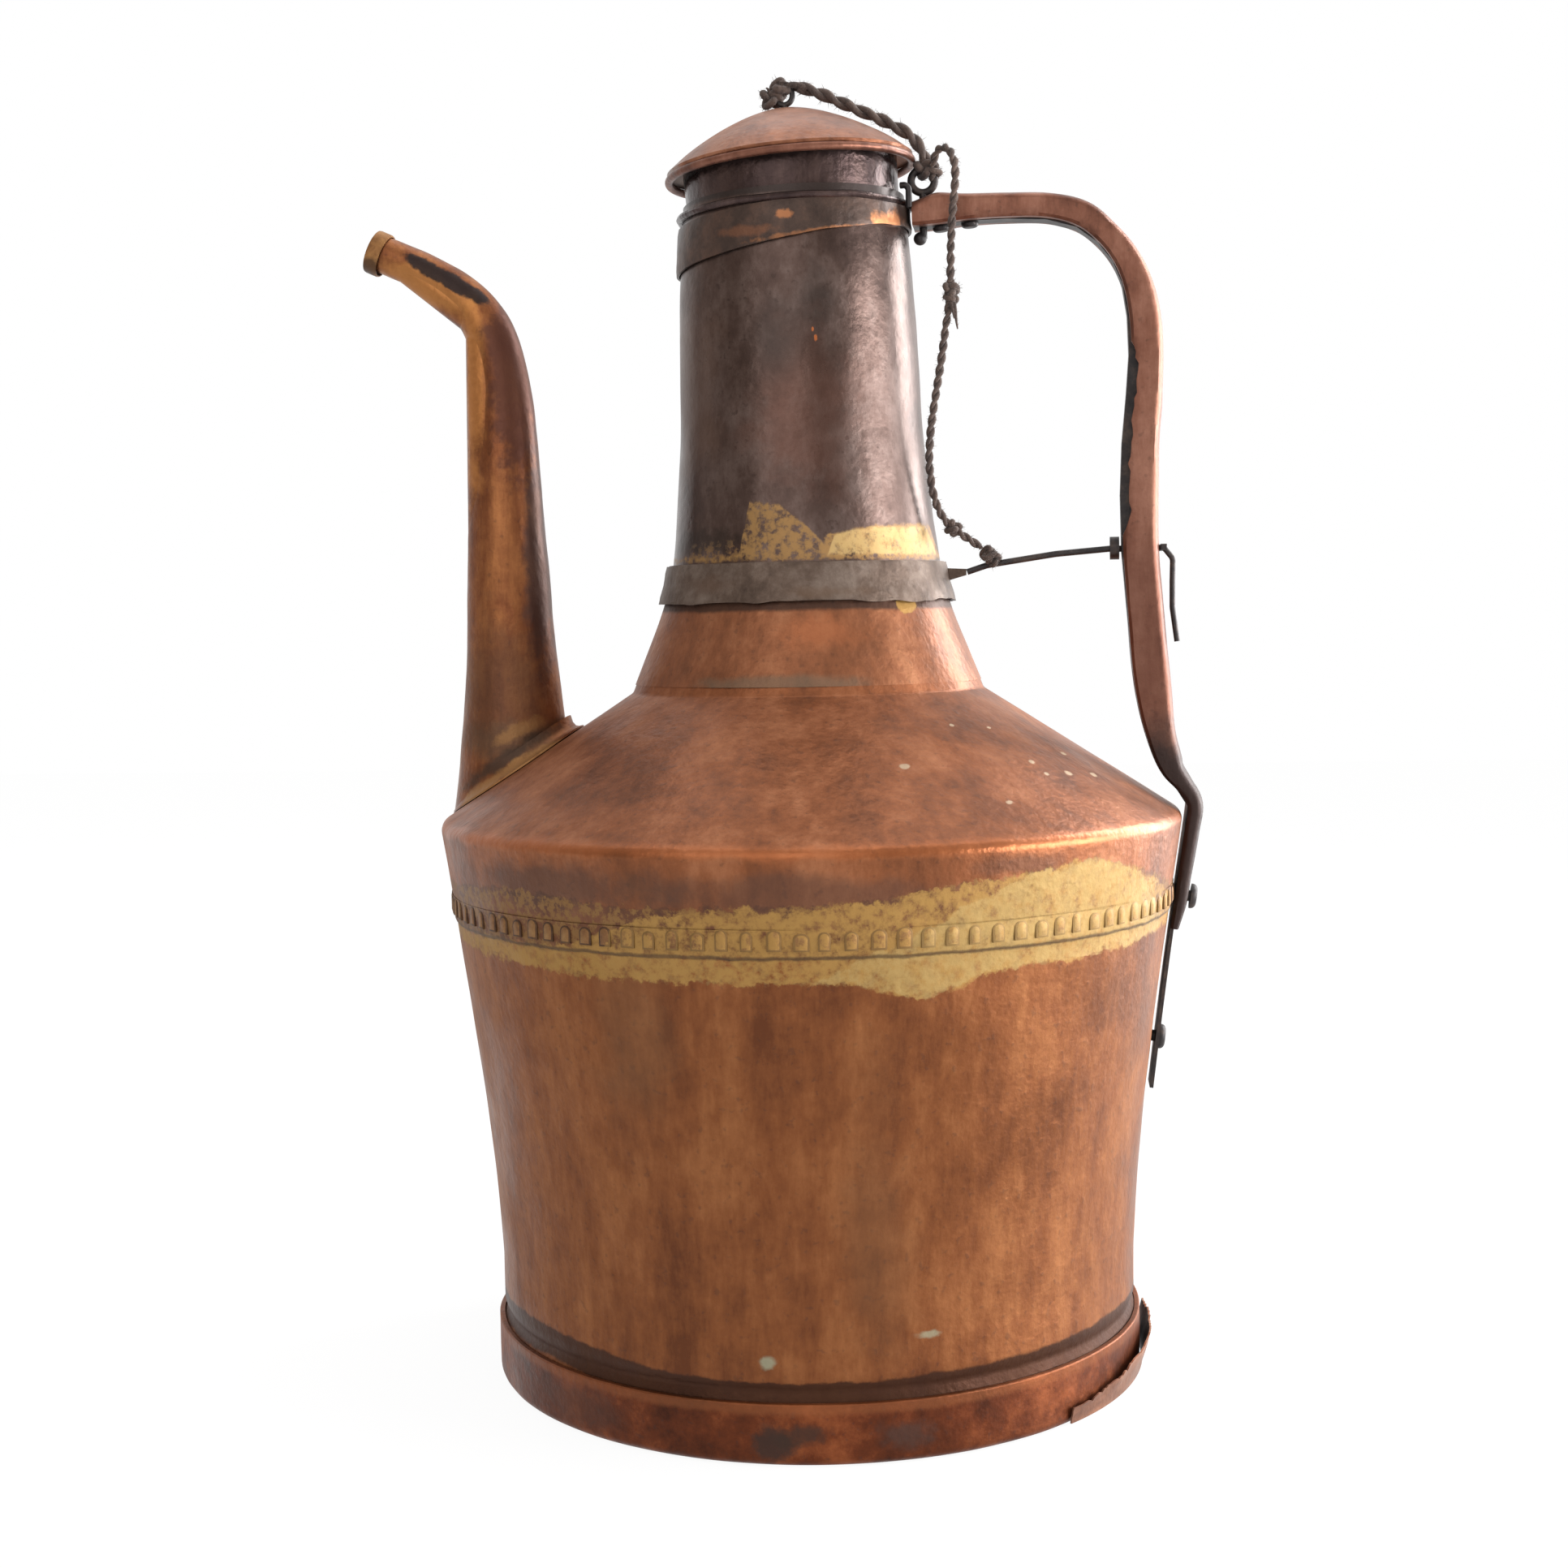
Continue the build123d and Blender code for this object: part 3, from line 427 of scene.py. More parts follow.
def add_node(
    tree: bpy.types.NodeTree, kind: str, inputs: dict[str | int, object] | None = None, **settings: object
) -> bpy.types.Node:
    """Adds a node, sets its properties and feeds its inputs.

    Args:
        tree: The node tree.
        kind: The node's type.
        inputs: Sockets or plain values, by the input's name or number.
        **settings: The node's properties.

    Returns:
        The node.
    """
    made = tree.nodes.new(kind)
    for key, value in settings.items():
        setattr(made, key, value)
    for key, value in (inputs or {}).items():
        feed(tree, made.inputs[key], value)
    return made


# Procedural materials


class Shade:
    """Lays out one procedural material node by node."""

    def __init__(self, name: str) -> None:
        """Starts a material with a shader and object coordinates.

        Args:
            name: The material's name.
        """
        self.material = bpy.data.materials.new(name)
        self.material.use_nodes = True
        self.tree = self.material.node_tree
        self.tree.nodes.clear()
        self.shader = add_node(self.tree, "ShaderNodeBsdfPrincipled")
        add_node(self.tree, "ShaderNodeOutputMaterial", {"Surface": self.shader.outputs["BSDF"]})
        self.place: Socket = add_node(self.tree, "ShaderNodeTexCoord").outputs["Object"]

    def feed(self, name: str, value: object) -> None:
        """Feeds one of the shader's own inputs."""
        feed(self.tree, self.shader.inputs[name], value)

    def stretched(self, scale: Place) -> Socket:
        """Gives the object coordinates scaled along each axis."""
        entries = {"Vector": self.place, "Scale": scale}
        return add_node(self.tree, "ShaderNodeMapping", entries).outputs["Vector"]

    def grain(
        self, scale: float, vector: Socket | None = None, detail: float = 5.0, rough: float = 0.6
    ) -> Socket:
        """Gives a noise value for a scale per metre."""
        entries = {"Vector": vector or self.place, "Scale": scale, "Detail": detail, "Roughness": rough}
        return add_node(self.tree, "ShaderNodeTexNoise", entries).outputs["Fac"]

    def sums(self, operation: str, first: object, second: object = 0.0, clamp: bool = False) -> Socket:
        """Combines two values by a named operation."""
        entries = {0: first, 1: second}
        return add_node(self.tree, "ShaderNodeMath", entries, operation=operation, use_clamp=clamp).outputs[0]

    def rise(self, value: Socket, low: object, high: object) -> Socket:
        """Rises smoothly from 0 at the low value to 1 at the high one."""
        entries = {"Value": value, "From Min": low, "From Max": high}
        made = add_node(self.tree, "ShaderNodeMapRange", entries, interpolation_type="SMOOTHSTEP")
        return made.outputs["Result"]

    def jitter(self, grain: float, ragged: float, detail: float, rough: float) -> Socket:
        """Gives noise that swings by a ragged amount to either side of 0."""
        swing = self.sums("SUBTRACT", self.grain(grain, detail=detail, rough=rough), 0.5)
        return self.sums("MULTIPLY", swing, 2 * ragged)

    def ramp(self, value: Socket, stops: Sequence[tuple[float, Colour]]) -> Socket:
        """Turns a value into a colour.

        Args:
            value: The value, from 0 to 1.
            stops: Values in rising order, each with its colour.

        Returns:
            The colour.
        """
        made = add_node(self.tree, "ShaderNodeValToRGB", {"Fac": value})
        bar = made.color_ramp
        while len(bar.elements) > 1:
            bar.elements.remove(bar.elements[-1])
        bar.elements[0].position = stops[0][0]
        bar.elements[0].color = (*stops[0][1], 1.0)
        for position, colour in stops[1:]:
            bar.elements.new(position).color = (*colour, 1.0)
        return made.outputs["Color"]

    def blend(self, share: object, first: object, second: object) -> Socket:
        """Mixes two colours by a share."""
        entries = {0: share, 6: first, 7: second}
        return add_node(self.tree, "ShaderNodeMix", entries, data_type="RGBA").outputs[2]

    def axes(self) -> tuple[Socket, Socket, Socket]:
        """Gives the three object coordinates on their own."""
        made = add_node(self.tree, "ShaderNodeSeparateXYZ", {0: self.place})
        return made.outputs[0], made.outputs[1], made.outputs[2]

    def bearing(self) -> Socket:
        """Gives the share of a turn round the upright axis, 0.5 at -Y and 0.75 at +X."""
        x, y, _ = self.axes()
        angle = self.sums("ARCTAN2", x, self.sums("MULTIPLY", y, -1.0))
        return self.sums("ADD", self.sums("DIVIDE", angle, math.tau), 0.5)

    def relief(self, height: Socket, depth: float) -> None:
        """Gives the shader a bump of the given depth in metres."""
        bump = add_node(self.tree, "ShaderNodeBump", {"Height": height, "Distance": depth})
        self.feed("Normal", bump.outputs["Normal"])


class Layer:
    """A stain, patch, painted highlight, painted shadow or other covering on top of a base metal.

    A positive dull makes the metal rougher and less metallic under the layer, a negative one polishes it.
    """

    colour: Colour
    amount: float
    dull: float = 0.0

    def cover(self, shade: Shade) -> Socket:
        """Gives how much of the layer shows at each place.

        Args:
            shade: The material that is being laid out.

        Returns:
            A value from 0 to 1.
        """
        raise NotImplementedError


@dataclass(frozen=True)
class Belt(Layer):
    """A stain, painted highlight or painted shadow all round between two heights, with ragged edges."""

    low: float
    high: float
    colour: Colour
    amount: float = 1.0
    soft: float = 0.004
    ragged: float = 0.006
    grain: float = 70.0
    dull: float = 0.0

    def cover(self, shade: Shade) -> Socket:
        """Gives the belt's cover, as Layer.cover does."""
        _, _, z = shade.axes()
        height = shade.sums("ADD", z, shade.jitter(self.grain, self.ragged, 8.0, 0.7))
        above = shade.rise(height, self.low - self.soft, self.low + self.soft)
        below = shade.rise(height, self.high + self.soft, self.high - self.soft)
        return shade.sums("MULTIPLY", shade.sums("MULTIPLY", above, below), self.amount)


@dataclass(frozen=True)
class Spot(Layer):
    """A stain or drop inside an ellipsoid, with a ragged edge and its lean about Y in degrees."""

    centre: Place
    reach: Place
    colour: Colour
    amount: float = 1.0
    edge: float = 0.25
    ragged: float = 0.5
    grain: float = 120.0
    dull: float = 0.0
    lean: float = 0.0

    def cover(self, shade: Shade) -> Socket:
        """Gives the spot's cover, as Layer.cover does."""
        local = add_node(shade.tree, "ShaderNodeMapping", {
            "Vector": shade.place, "Location": self.centre, "Rotation": (0.0, math.radians(self.lean), 0.0),
            "Scale": self.reach,
        }, vector_type="TEXTURE")
        length = add_node(
            shade.tree, "ShaderNodeVectorMath", {0: local.outputs["Vector"]}, operation="LENGTH"
        )
        away = shade.sums("ADD", length.outputs["Value"], shade.jitter(self.grain, self.ragged, 6.0, 0.65))
        return shade.sums("MULTIPLY", shade.rise(away, 1.0, 1.0 - self.edge), self.amount)


@dataclass(frozen=True)
class Ribbon(Layer):
    """A painted-on band whose two edges wander with the bearing round the body.

    The span holds every height of both edges, and a worn ribbon is broken up into specks.
    """

    tops: Outline
    feet: Outline
    colour: Colour
    span: tuple[float, float]
    amount: float = 1.0
    ragged: float = 0.005
    grain: float = 160.0
    worn: float = 0.0
    dull: float = 0.0
    soft: float = 0.0006

    def edge(self, shade: Shade, stops: Outline) -> Socket:
        """Gives the height of an edge at each bearing.

        Args:
            shade: The material that is being laid out.
            stops: Bearings from 0 to 1 and the edge's height there.

        Returns:
            The height in metres.
        """
        low, high = self.span
        greys = [(at, ((z - low) / (high - low),) * 3) for at, z in stops]
        share = shade.ramp(shade.bearing(), greys)
        return shade.sums("ADD", shade.sums("MULTIPLY", share, high - low), low)

    def cover(self, shade: Shade) -> Socket:
        """Gives the ribbon's cover, as Layer.cover does."""
        _, _, z = shade.axes()
        height = shade.sums("ADD", z, shade.jitter(self.grain, self.ragged, 9.0, 0.72))
        inside = shade.sums("MULTIPLY", *(
            shade.rise(away, -self.soft, self.soft) for away in (
                shade.sums("SUBTRACT", height, self.edge(shade, self.feet)),
                shade.sums("SUBTRACT", self.edge(shade, self.tops), height),
            )
        ))
        if self.worn > 0:
            fine = shade.grain(self.grain * 1.8, detail=8.0, rough=0.7)
            inside = shade.sums("MULTIPLY", inside, shade.rise(fine, 0.5 - self.worn, 0.56))
        return shade.sums("MULTIPLY", inside, self.amount)


class Finish(Enum):
    """Names of the finishes that several pieces share."""

    BODY = "body_copper"
    FOOT = "foot_copper"
    SHOULDER = "shoulder_copper"
    CONE = "cone_copper"
    NECK = "tinned_neck"
    STRAP = "grey_strap_iron"
    BAND = "band_copper"
    # Black iron, also used as painted shade on the back of the torn foot skin.
    IRON_AND_SHADE = "black_iron_and_shade"
    SPOUT = "golden_spout"
    TIP = "dark_gold_tip"
    HANDLE = "handle_copper"
    DOME = "dome_copper"
    SKIRT = "dark_skirt"
    TORN = "torn_copper"
    ROPE = "dirty_twine"
    BRAZE = "cramped_braze"
    CREASE = "cramp_crease"


Finishes = dict[Finish, bpy.types.Material]


@dataclass(frozen=True)
class AgedMetal:
    """Old sheet metal with streaks, blotches, specks, stains, painted highlights and shadows, and small
    dents.

    Its tone is a weighted sum of four noises, the weights in the order streaks, blotches, fine streaks and
    mottling. The stops are the tones at which the dark, middle and light colours stand.
    """

    finish: Finish
    dark: Colour
    middle: Colour
    light: Colour
    layers: tuple[Layer, ...] = ()
    streak: Place = (1.0, 1.0, 0.08)
    streak_scale: float = 70.0
    metallic: float = 0.75
    smooth: float = 0.36
    rough: float = 0.6
    speck: float = 0.28
    speck_colour: Colour = (0.035, 0.022, 0.018)
    depth: float = 0.0006
    weights: tuple[float, float, float, float] = (0.36, 0.30, 0.16, 0.18)
    stops: tuple[float, float, float] = (0.40, 0.5, 0.61)
    gloss_swing: float = 0.3

    def build(self) -> bpy.types.Material:
        """Lays out the material.

        Returns:
            The material.
        """
        shade = Shade(self.finish.value)
        runs = shade.stretched(self.streak)
        streaks = shade.grain(self.streak_scale, runs, 6.0, 0.65)
        fine = shade.grain(self.streak_scale * 4.3, runs, 6.0, 0.7)
        blotch = shade.grain(17.0, detail=6.0, rough=0.62)
        mottle = shade.grain(130.0, detail=5.0, rough=0.7)
        worn = shade.grain(420.0, detail=3.0, rough=0.5)
        parts = [shade.sums("MULTIPLY", *pair) for pair in zip((streaks, blotch, fine, mottle), self.weights)]
        tone = parts[0]
        for part in parts[1:]:
            tone = shade.sums("ADD", tone, part)
        colour = shade.ramp(tone, tuple(zip(self.stops, (self.dark, self.middle, self.light))))
        specks = shade.sums("MULTIPLY", shade.rise(worn, 0.6, 0.72), self.speck)
        colour = shade.blend(specks, colour, self.speck_colour)
        dulled: Socket | None = None
        polished: Socket | None = None
        for layer in self.layers:
            cover = layer.cover(shade)
            colour = shade.blend(cover, colour, layer.colour)
            if layer.dull > 0:
                dulled = shade.sums("MAXIMUM", dulled or 0.0, shade.sums("MULTIPLY", cover, layer.dull))
            elif layer.dull < 0:
                polished = shade.sums("MAXIMUM", polished or 0.0, shade.sums("MULTIPLY", cover, -layer.dull))
        shade.feed("Base Color", colour)
        spread = shade.sums("MULTIPLY", shade.rise(blotch, 0.35, 0.68), self.rough - self.smooth)
        rough = shade.sums("ADD", spread, self.smooth)
        metal: object = self.metallic
        if polished is not None:
            rough = shade.sums("SUBTRACT", rough, shade.sums("MULTIPLY", polished, self.gloss_swing))
        if dulled is not None:
            more = shade.sums("MULTIPLY", dulled, self.gloss_swing)
            rough = shade.sums("ADD", rough, more, clamp=True)
            metal = shade.sums("MULTIPLY", shade.sums("SUBTRACT", 1.0, dulled), self.metallic)
        shade.feed("Metallic", metal)
        shade.feed("Roughness", rough)
        pits = shade.sums("MULTIPLY", worn, 0.35)
        height = shade.sums("ADD", shade.sums("MULTIPLY", shade.grain(55.0, detail=4.0), 0.8), pits)
        height = shade.sums("ADD", height, shade.sums("MULTIPLY", streaks, 0.25))
        shade.relief(height, self.depth)
        return shade.material


@dataclass(frozen=True)
class Twine:
    """Dirty twisted plant fibre, dark in its creases."""

    finish: Finish
    dark: Colour
    light: Colour
    broad_scale: float = 240.0
    fine_scale: float = 2600.0
    sheen: float = 0.15
    depth: float = 0.0003

    def build(self) -> bpy.types.Material:
        """Lays out the material.

        Returns:
            The material.
        """
        shade = Shade(self.finish.value)
        broad = shade.grain(self.broad_scale, detail=6.0, rough=0.7)
        fine = shade.grain(self.fine_scale, detail=4.0, rough=0.7)
        tone = shade.sums("ADD", shade.sums("MULTIPLY", broad, 0.55), shade.sums("MULTIPLY", fine, 0.45))
        middle = tuple((a + b) / 2 for a, b in zip(self.dark, self.light))
        shade.feed("Base Color", shade.ramp(tone, ((0.34, self.dark), (0.5, middle), (0.66, self.light))))
        shade.feed("Roughness", shade.sums("ADD", shade.sums("MULTIPLY", fine, 0.2), 0.75))
        shade.feed("Sheen Weight", self.sheen)
        shade.relief(fine, self.depth)
        return shade.material


# Stains, painted highlights on the shoulder edge and the pan's top edge, and a painted shadow under the
# strap, each tuple from its lowest to its highest layer. Numbers after the colour: a Belt's amount, soft,
# ragged, grain and dull, a Spot's amount, edge, ragged, grain, dull and lean, and a Ribbon's span, amount,
# ragged, grain, worn and dull.


def level(height: float) -> Outline:
    """Gives a ribbon's edge that stays at one height."""
    return (0.0, height), (1.0, height)


EVEN = (1.0, 1.0, 1.0)
SEAM_SPAN = (0.14, 0.20)
GROOVE_SPAN = (0.015, 0.035)
NECK_SPAN = (0.28, 0.31)
SEAM_LINE = 0.1643
BRAZE_TOPS = (
    (0.02, 0.178), (0.20, 0.180), (0.33, 0.179), (0.39, 0.182), (0.44, 0.179), (0.49, 0.179),
    (0.54, 0.181), (0.565, 0.1845), (0.59, 0.186), (0.64, 0.190), (0.67, 0.184), (0.72, 0.174),
    (0.85, 0.178), (0.98, 0.178),
)
BRAZE_FEET = (
    (0.02, 0.155), (0.20, 0.157), (0.34, 0.158), (0.42, 0.156), (0.52, 0.156), (0.545, 0.154),
    (0.558, 0.150), (0.575, 0.153), (0.59, 0.157), (0.645, 0.158), (0.71, 0.160), (0.85, 0.156),
    (0.98, 0.155),
)
GOLD_TOPS = (
    (0.0, 0.150), (0.34, 0.150), (0.455, 0.176), *BRAZE_TOPS[5:11], (0.72, 0.170), (0.745, 0.150),
    (1.0, 0.150),
)
PALE_TOPS = (
    (0.0, 0.150), (0.500, 0.150), (0.600, 0.186), *BRAZE_TOPS[9:11], (0.71, 0.160), (1.0, 0.150),
)
GROOVE_TOPS = (
    (0.0, 0.030), (0.30, 0.031), (0.36, 0.032), (0.40, 0.0305), (0.44, 0.0275), (0.48, 0.0265),
    (0.54, 0.0267), (0.60, 0.0275), (0.65, 0.0290), (0.71, 0.0292), (0.80, 0.030), (1.0, 0.030),
)
GROOVE_FEET = ((0.0, 0.019), (0.33, 0.0205), (0.37, 0.0215), (0.42, 0.019), (1.0, 0.019))
PATINA = (0.050, 0.026, 0.018)
BRASS_GOLD = (0.315, 0.174, 0.042)
BRASS_PALE = (0.35, 0.240, 0.085)
BRASS_DULL = (0.20, 0.100, 0.030)
# Bright copper: small fresh copper marks on the neck, and a painted highlight on the shoulder edge.
FRESH_COPPER_AND_HIGHLIGHT = (0.44, 0.135, 0.045)
UNDER_EDGE = (0.075, 0.036, 0.024)
FAINT_RUN = (0.155, 0.075, 0.034)
CHALK = (0.25, 0.27, 0.18)
PALE_DROP = (0.42, 0.33, 0.22)
SHOULDER_DROPS = (
    (0.0402, -0.0881, 0.2198, 0.0016), (0.0733, -0.0886, 0.2082, 0.0013),
    (0.0802, -0.0571, 0.2188, 0.0013), (0.0850, -0.0606, 0.2150, 0.0010),
    (0.0924, -0.0504, 0.2144, 0.0016), (0.1007, -0.0382, 0.2129, 0.0015),
    (0.0907, -0.0340, 0.2199, 0.0013), (0.0539, -0.0579, 0.2312, 0.0009),
    (0.0659, -0.0479, 0.2297, 0.0009),
)
BODY_STAINS_AND_HIGHLIGHT = (
    Spot((-0.075, -0.105, 0.184), (0.075, 0.045, 0.011), UNDER_EDGE, 0.75, 0.6, 0.8, 40.0, 0.2),
    Spot((0.010, -0.130, 0.1835), (0.060, 0.030, 0.009), UNDER_EDGE, 0.6, 0.6, 0.8, 45.0, 0.2),
    Spot((0.075, -0.105, 0.190), (0.022, 0.03, 0.005), PATINA, 0.5, 0.6, 0.9, 60.0, 0.2),
    # Painted highlight: brighter copper along the shoulder edge, with a polish that sharpens the lamps'
    # reflection there.
    Belt(0.1950, 0.1985, FRESH_COPPER_AND_HIGHLIGHT, 0.42, 0.0014, 0.0035, 60.0, -0.6),
    Spot((-0.045, -0.120, 0.140), (0.020, 0.05, 0.060), FAINT_RUN, 0.35, 0.8, 0.9, 30.0),
    Spot((0.030, -0.120, 0.080), (0.015, 0.05, 0.070), FAINT_RUN, 0.3, 0.8, 0.9, 30.0),
    Ribbon(GROOVE_TOPS, GROOVE_FEET, (0.036, 0.012, 0.005), GROOVE_SPAN, 0.90, 0.0022, 80.0, 0.0, 0.05),
    Ribbon(BRAZE_TOPS, level(SEAM_LINE), PATINA, SEAM_SPAN, 0.5, 0.006, 120.0, 0.0, 0.3),
    Ribbon(BRAZE_TOPS, BRAZE_FEET, BRASS_DULL, SEAM_SPAN, 0.95, 0.005, 190.0, 0.06, 0.3),
    Ribbon(GOLD_TOPS, level(SEAM_LINE), BRASS_GOLD, SEAM_SPAN, 0.90, 0.0065, 130.0, 0.17, 0.4),
    Ribbon(level(SEAM_LINE), BRAZE_FEET, BRASS_GOLD, SEAM_SPAN, 0.90, 0.0060, 130.0, 0.20, 0.4),
    Ribbon(PALE_TOPS, BRAZE_FEET, BRASS_PALE, SEAM_SPAN, 0.65, 0.0060, 120.0, 0.20, 0.3),
    Ribbon(
        ((0.0, 0.1660), (0.38, 0.1660), (0.445, 0.1610), (1.0, 0.1590)), level(0.1630),
        (0.075, 0.034, 0.015), SEAM_SPAN, 0.55, 0.0028, 130.0, 0.05, 0.3,
    ),
    Belt(
        SEAM_LINE - 0.0008, SEAM_LINE + 0.0004, (0.065, 0.034, 0.015), 0.75, 0.0004, 0.0012, 90.0, 0.3
    ),
    Spot((-0.0043, -0.1143, 0.033), (0.0036, 0.006, 0.0027), CHALK, 0.7, 0.6, 0.5, 260.0, 0.8),
    Spot((0.0465, -0.1047, 0.0401), (0.0050, 0.006, 0.0016), CHALK, 0.55, 0.6, 0.7, 260.0, 0.8),
    *(
        Spot((x, y, z), (1.3 * r, 1.6 * r, 0.8 * r), PALE_DROP, 0.7, 0.5, 0.5, 300.0, 0.6)
        for x, y, z, r in SHOULDER_DROPS
    ),
)
FOOT_STAINS_AND_HIGHLIGHT = (
    # Painted highlight: lighter copper along the pan's top edge.
    Belt(0.0170, 0.0300, (0.24, 0.080, 0.028), 0.45, 0.0012, 0.0020, 60.0),
    Spot(
        (-0.0030, -0.1162, 0.0068), (0.0085, 0.02, 0.0062), (0.030, 0.014, 0.009), 0.85, 0.6, 1.3, 75.0, 0.3
    ),
    Spot((0.0070, -0.1158, 0.0105), (0.0100, 0.02, 0.0050), (0.036, 0.017, 0.010), 0.75, 0.6, 1.3, 85.0, 0.3),
    Spot((0.0395, -0.1093, 0.0100), (0.0110, 0.02, 0.0060), (0.048, 0.024, 0.017), 0.65, 0.7, 1.2, 70.0, 0.3),
    Spot((-0.070, -0.092, 0.010), (0.03, 0.03, 0.010), (0.070, 0.026, 0.015), 0.6, 0.7, 0.8, 60.0, 0.2),
)
CONE_STAINS_AND_SHADOW = (
    Spot((-0.002, -0.060, 0.2450), (0.038, 0.03, 0.0045), (0.12, 0.090, 0.058), 0.6, 0.6, 0.7, 60.0, 0.4),
    # Painted shadow: a dark line on the cone under the strap's wavy foot.
    Belt(0.2698, 0.2740, (0.022, 0.013, 0.010), 0.8, 0.0008, 0.0012, 80.0, 0.2),
    Spot((0.010, -0.052, 0.262), (0.018, 0.03, 0.007), (0.42, 0.14, 0.055), 0.45, 0.7, 0.9, 90.0),
    Spot((0.038, -0.0355, 0.2715), (0.0045, 0.006, 0.0035), BRASS_GOLD, 0.9, 0.2, 0.5, 200.0, 0.2),
)
NECK_STAINS = (
    Spot((-0.037, -0.025, 0.350), (0.016, 0.03, 0.055), (0.125, 0.072, 0.050), 0.5, 0.8, 0.9, 45.0),
    Spot((0.010, -0.043, 0.372), (0.010, 0.02, 0.016), (0.028, 0.024, 0.022), 0.5, 0.8, 0.9, 60.0),
    Belt(0.4100, 0.4200, (0.026, 0.017, 0.015), 0.9, 0.0008, 0.0006, 60.0, 0.3),
    Ribbon(
        ((0.0, 0.2870), (0.345, 0.2870), (0.36, 0.2935), (0.43, 0.2945), (0.445, 0.2870), (1.0, 0.2870)),
        level(0.287), (0.19, 0.100, 0.034), NECK_SPAN, 0.8, 0.0032, 220.0, 0.03, 0.5,
    ),
    Spot((0.003, -0.042, 0.335), (0.026, 0.02, 0.040), (0.125, 0.058, 0.042), 0.5, 0.8, 0.9, 50.0),
    Spot((-0.004, -0.042, 0.360), (0.014, 0.02, 0.020), (0.030, 0.026, 0.024), 0.5, 0.8, 0.9, 50.0),
    Ribbon(
        ((0.0, 0.2885), (0.40, 0.2885), (0.437, 0.289), (0.449, 0.307), (0.487, 0.3055),
         (0.515, 0.299), (0.536, 0.293), (0.545, 0.2955), (0.60, 0.298), (0.71, 0.299),
         (0.74, 0.289), (1.0, 0.2885)),
        level(0.287), (0.27, 0.145, 0.042), NECK_SPAN, 0.9, 0.0026, 200.0, 0.13, 0.6,
    ),
    Ribbon(
        ((0.0, 0.287), (0.54, 0.287), (0.552, 0.2955), (0.60, 0.2975), (0.70, 0.298), (0.73, 0.287),
         (1.0, 0.287)),
        level(0.2885), (0.42, 0.28, 0.105), NECK_SPAN, 0.85, 0.0022, 180.0, 0.22, 0.6,
    ),
    Spot((-0.034, -0.030, 0.294), (0.022, 0.03, 0.006), (0.030, 0.022, 0.018), 0.6, 0.5, 0.9, 160.0),
    Spot((0.0090, -0.0422, 0.3612), (0.0007, 0.006, 0.0014), FRESH_COPPER_AND_HIGHLIGHT, 0.9, 0.4, 0.5, 700.0),
    Spot((0.0080, -0.0424, 0.3640), (0.0005, 0.006, 0.0009), FRESH_COPPER_AND_HIGHLIGHT, 0.9, 0.4, 0.5, 700.0),
)
STRAP_STAINS = (
    Spot((-0.030, -0.043, 0.2790), (0.014, 0.02, 0.0060), (0.090, 0.045, 0.025), 0.5, 0.8, 0.9, 80.0, 0.2),
    Spot((0.014, -0.052, 0.2760), (0.022, 0.02, 0.0030), (0.100, 0.055, 0.030), 0.5, 0.8, 0.9, 90.0, 0.2),
)
BAND_STAINS = (
    Spot((0.034, -0.024, 0.4005), (0.009, 0.016, 0.0065), (0.47, 0.19, 0.075), 0.85, 0.5, 0.9, 150.0),
    Spot((-0.001, -0.040, 0.4025), (0.0035, 0.006, 0.0020), (0.40, 0.16, 0.065), 0.7, 0.5, 0.9, 320.0),
    Spot(
        (0.012, -0.042, 0.3972), (0.030, 0.02, 0.0012), (0.33, 0.135, 0.055), 0.6, 0.7, 1.1, 300.0, 0.0, -8.0
    ),
    Spot((-0.015, -0.040, 0.3975), (0.014, 0.02, 0.0025), (0.22, 0.09, 0.045), 0.5, 0.6, 0.9, 150.0),
)
SPOUT_STAINS = (
    Spot((-0.110, -0.02, 0.243), (0.03, 0.04, 0.036), (0.085, 0.036, 0.018), 0.6, 0.8, 0.8, 60.0, 0.2),
    Spot((-0.1180, -0.004, 0.352), (0.0060, 0.02, 0.048), (0.44, 0.180, 0.050), 0.7, 0.6, 0.9, 90.0),
    Spot(
        (-0.136, -0.004, 0.3890), (0.030, 0.02, 0.0070), (0.42, 0.180, 0.050), 0.65, 0.5, 0.7, 90.0, 0.0, 26.0
    ),
    Spot((-0.1020, -0.006, 0.360), (0.0125, 0.03, 0.052), (0.074, 0.022, 0.012), 0.88, 0.45, 0.9, 90.0, 0.2),
    Spot((-0.0955, -0.006, 0.290), (0.0065, 0.03, 0.055), (0.055, 0.026, 0.020), 0.85, 0.5, 0.6, 90.0, 0.2),
    Spot(
        (-0.1270, -0.007, 0.3905), (0.0225, 0.0062, 0.0034), (0.014, 0.008, 0.008), 0.95, 0.3, 0.6, 150.0,
        0.2, 31.0,
    ),
    Spot((-0.110, -0.01, 0.225), (0.03, 0.04, 0.012), (0.085, 0.050, 0.028), 0.6, 0.7, 0.8, 70.0, 0.2),
    Spot(
        (-0.103, -0.016, 0.2285), (0.013, 0.01, 0.0035), (0.30, 0.150, 0.052), 0.6, 0.6, 1.0, 130.0,
        0.0, -25.0,
    ),
    Spot(
        (-0.108, -0.016, 0.2185), (0.028, 0.02, 0.0035), (0.036, 0.021, 0.013), 0.75, 0.6, 0.9, 110.0,
        0.2, -32.0,
    ),
    Spot(
        (-0.108, -0.018, 0.2128), (0.028, 0.012, 0.0030), (0.30, 0.150, 0.050), 0.8, 0.6, 1.0, 140.0,
        0.2, -32.0,
    ),
)
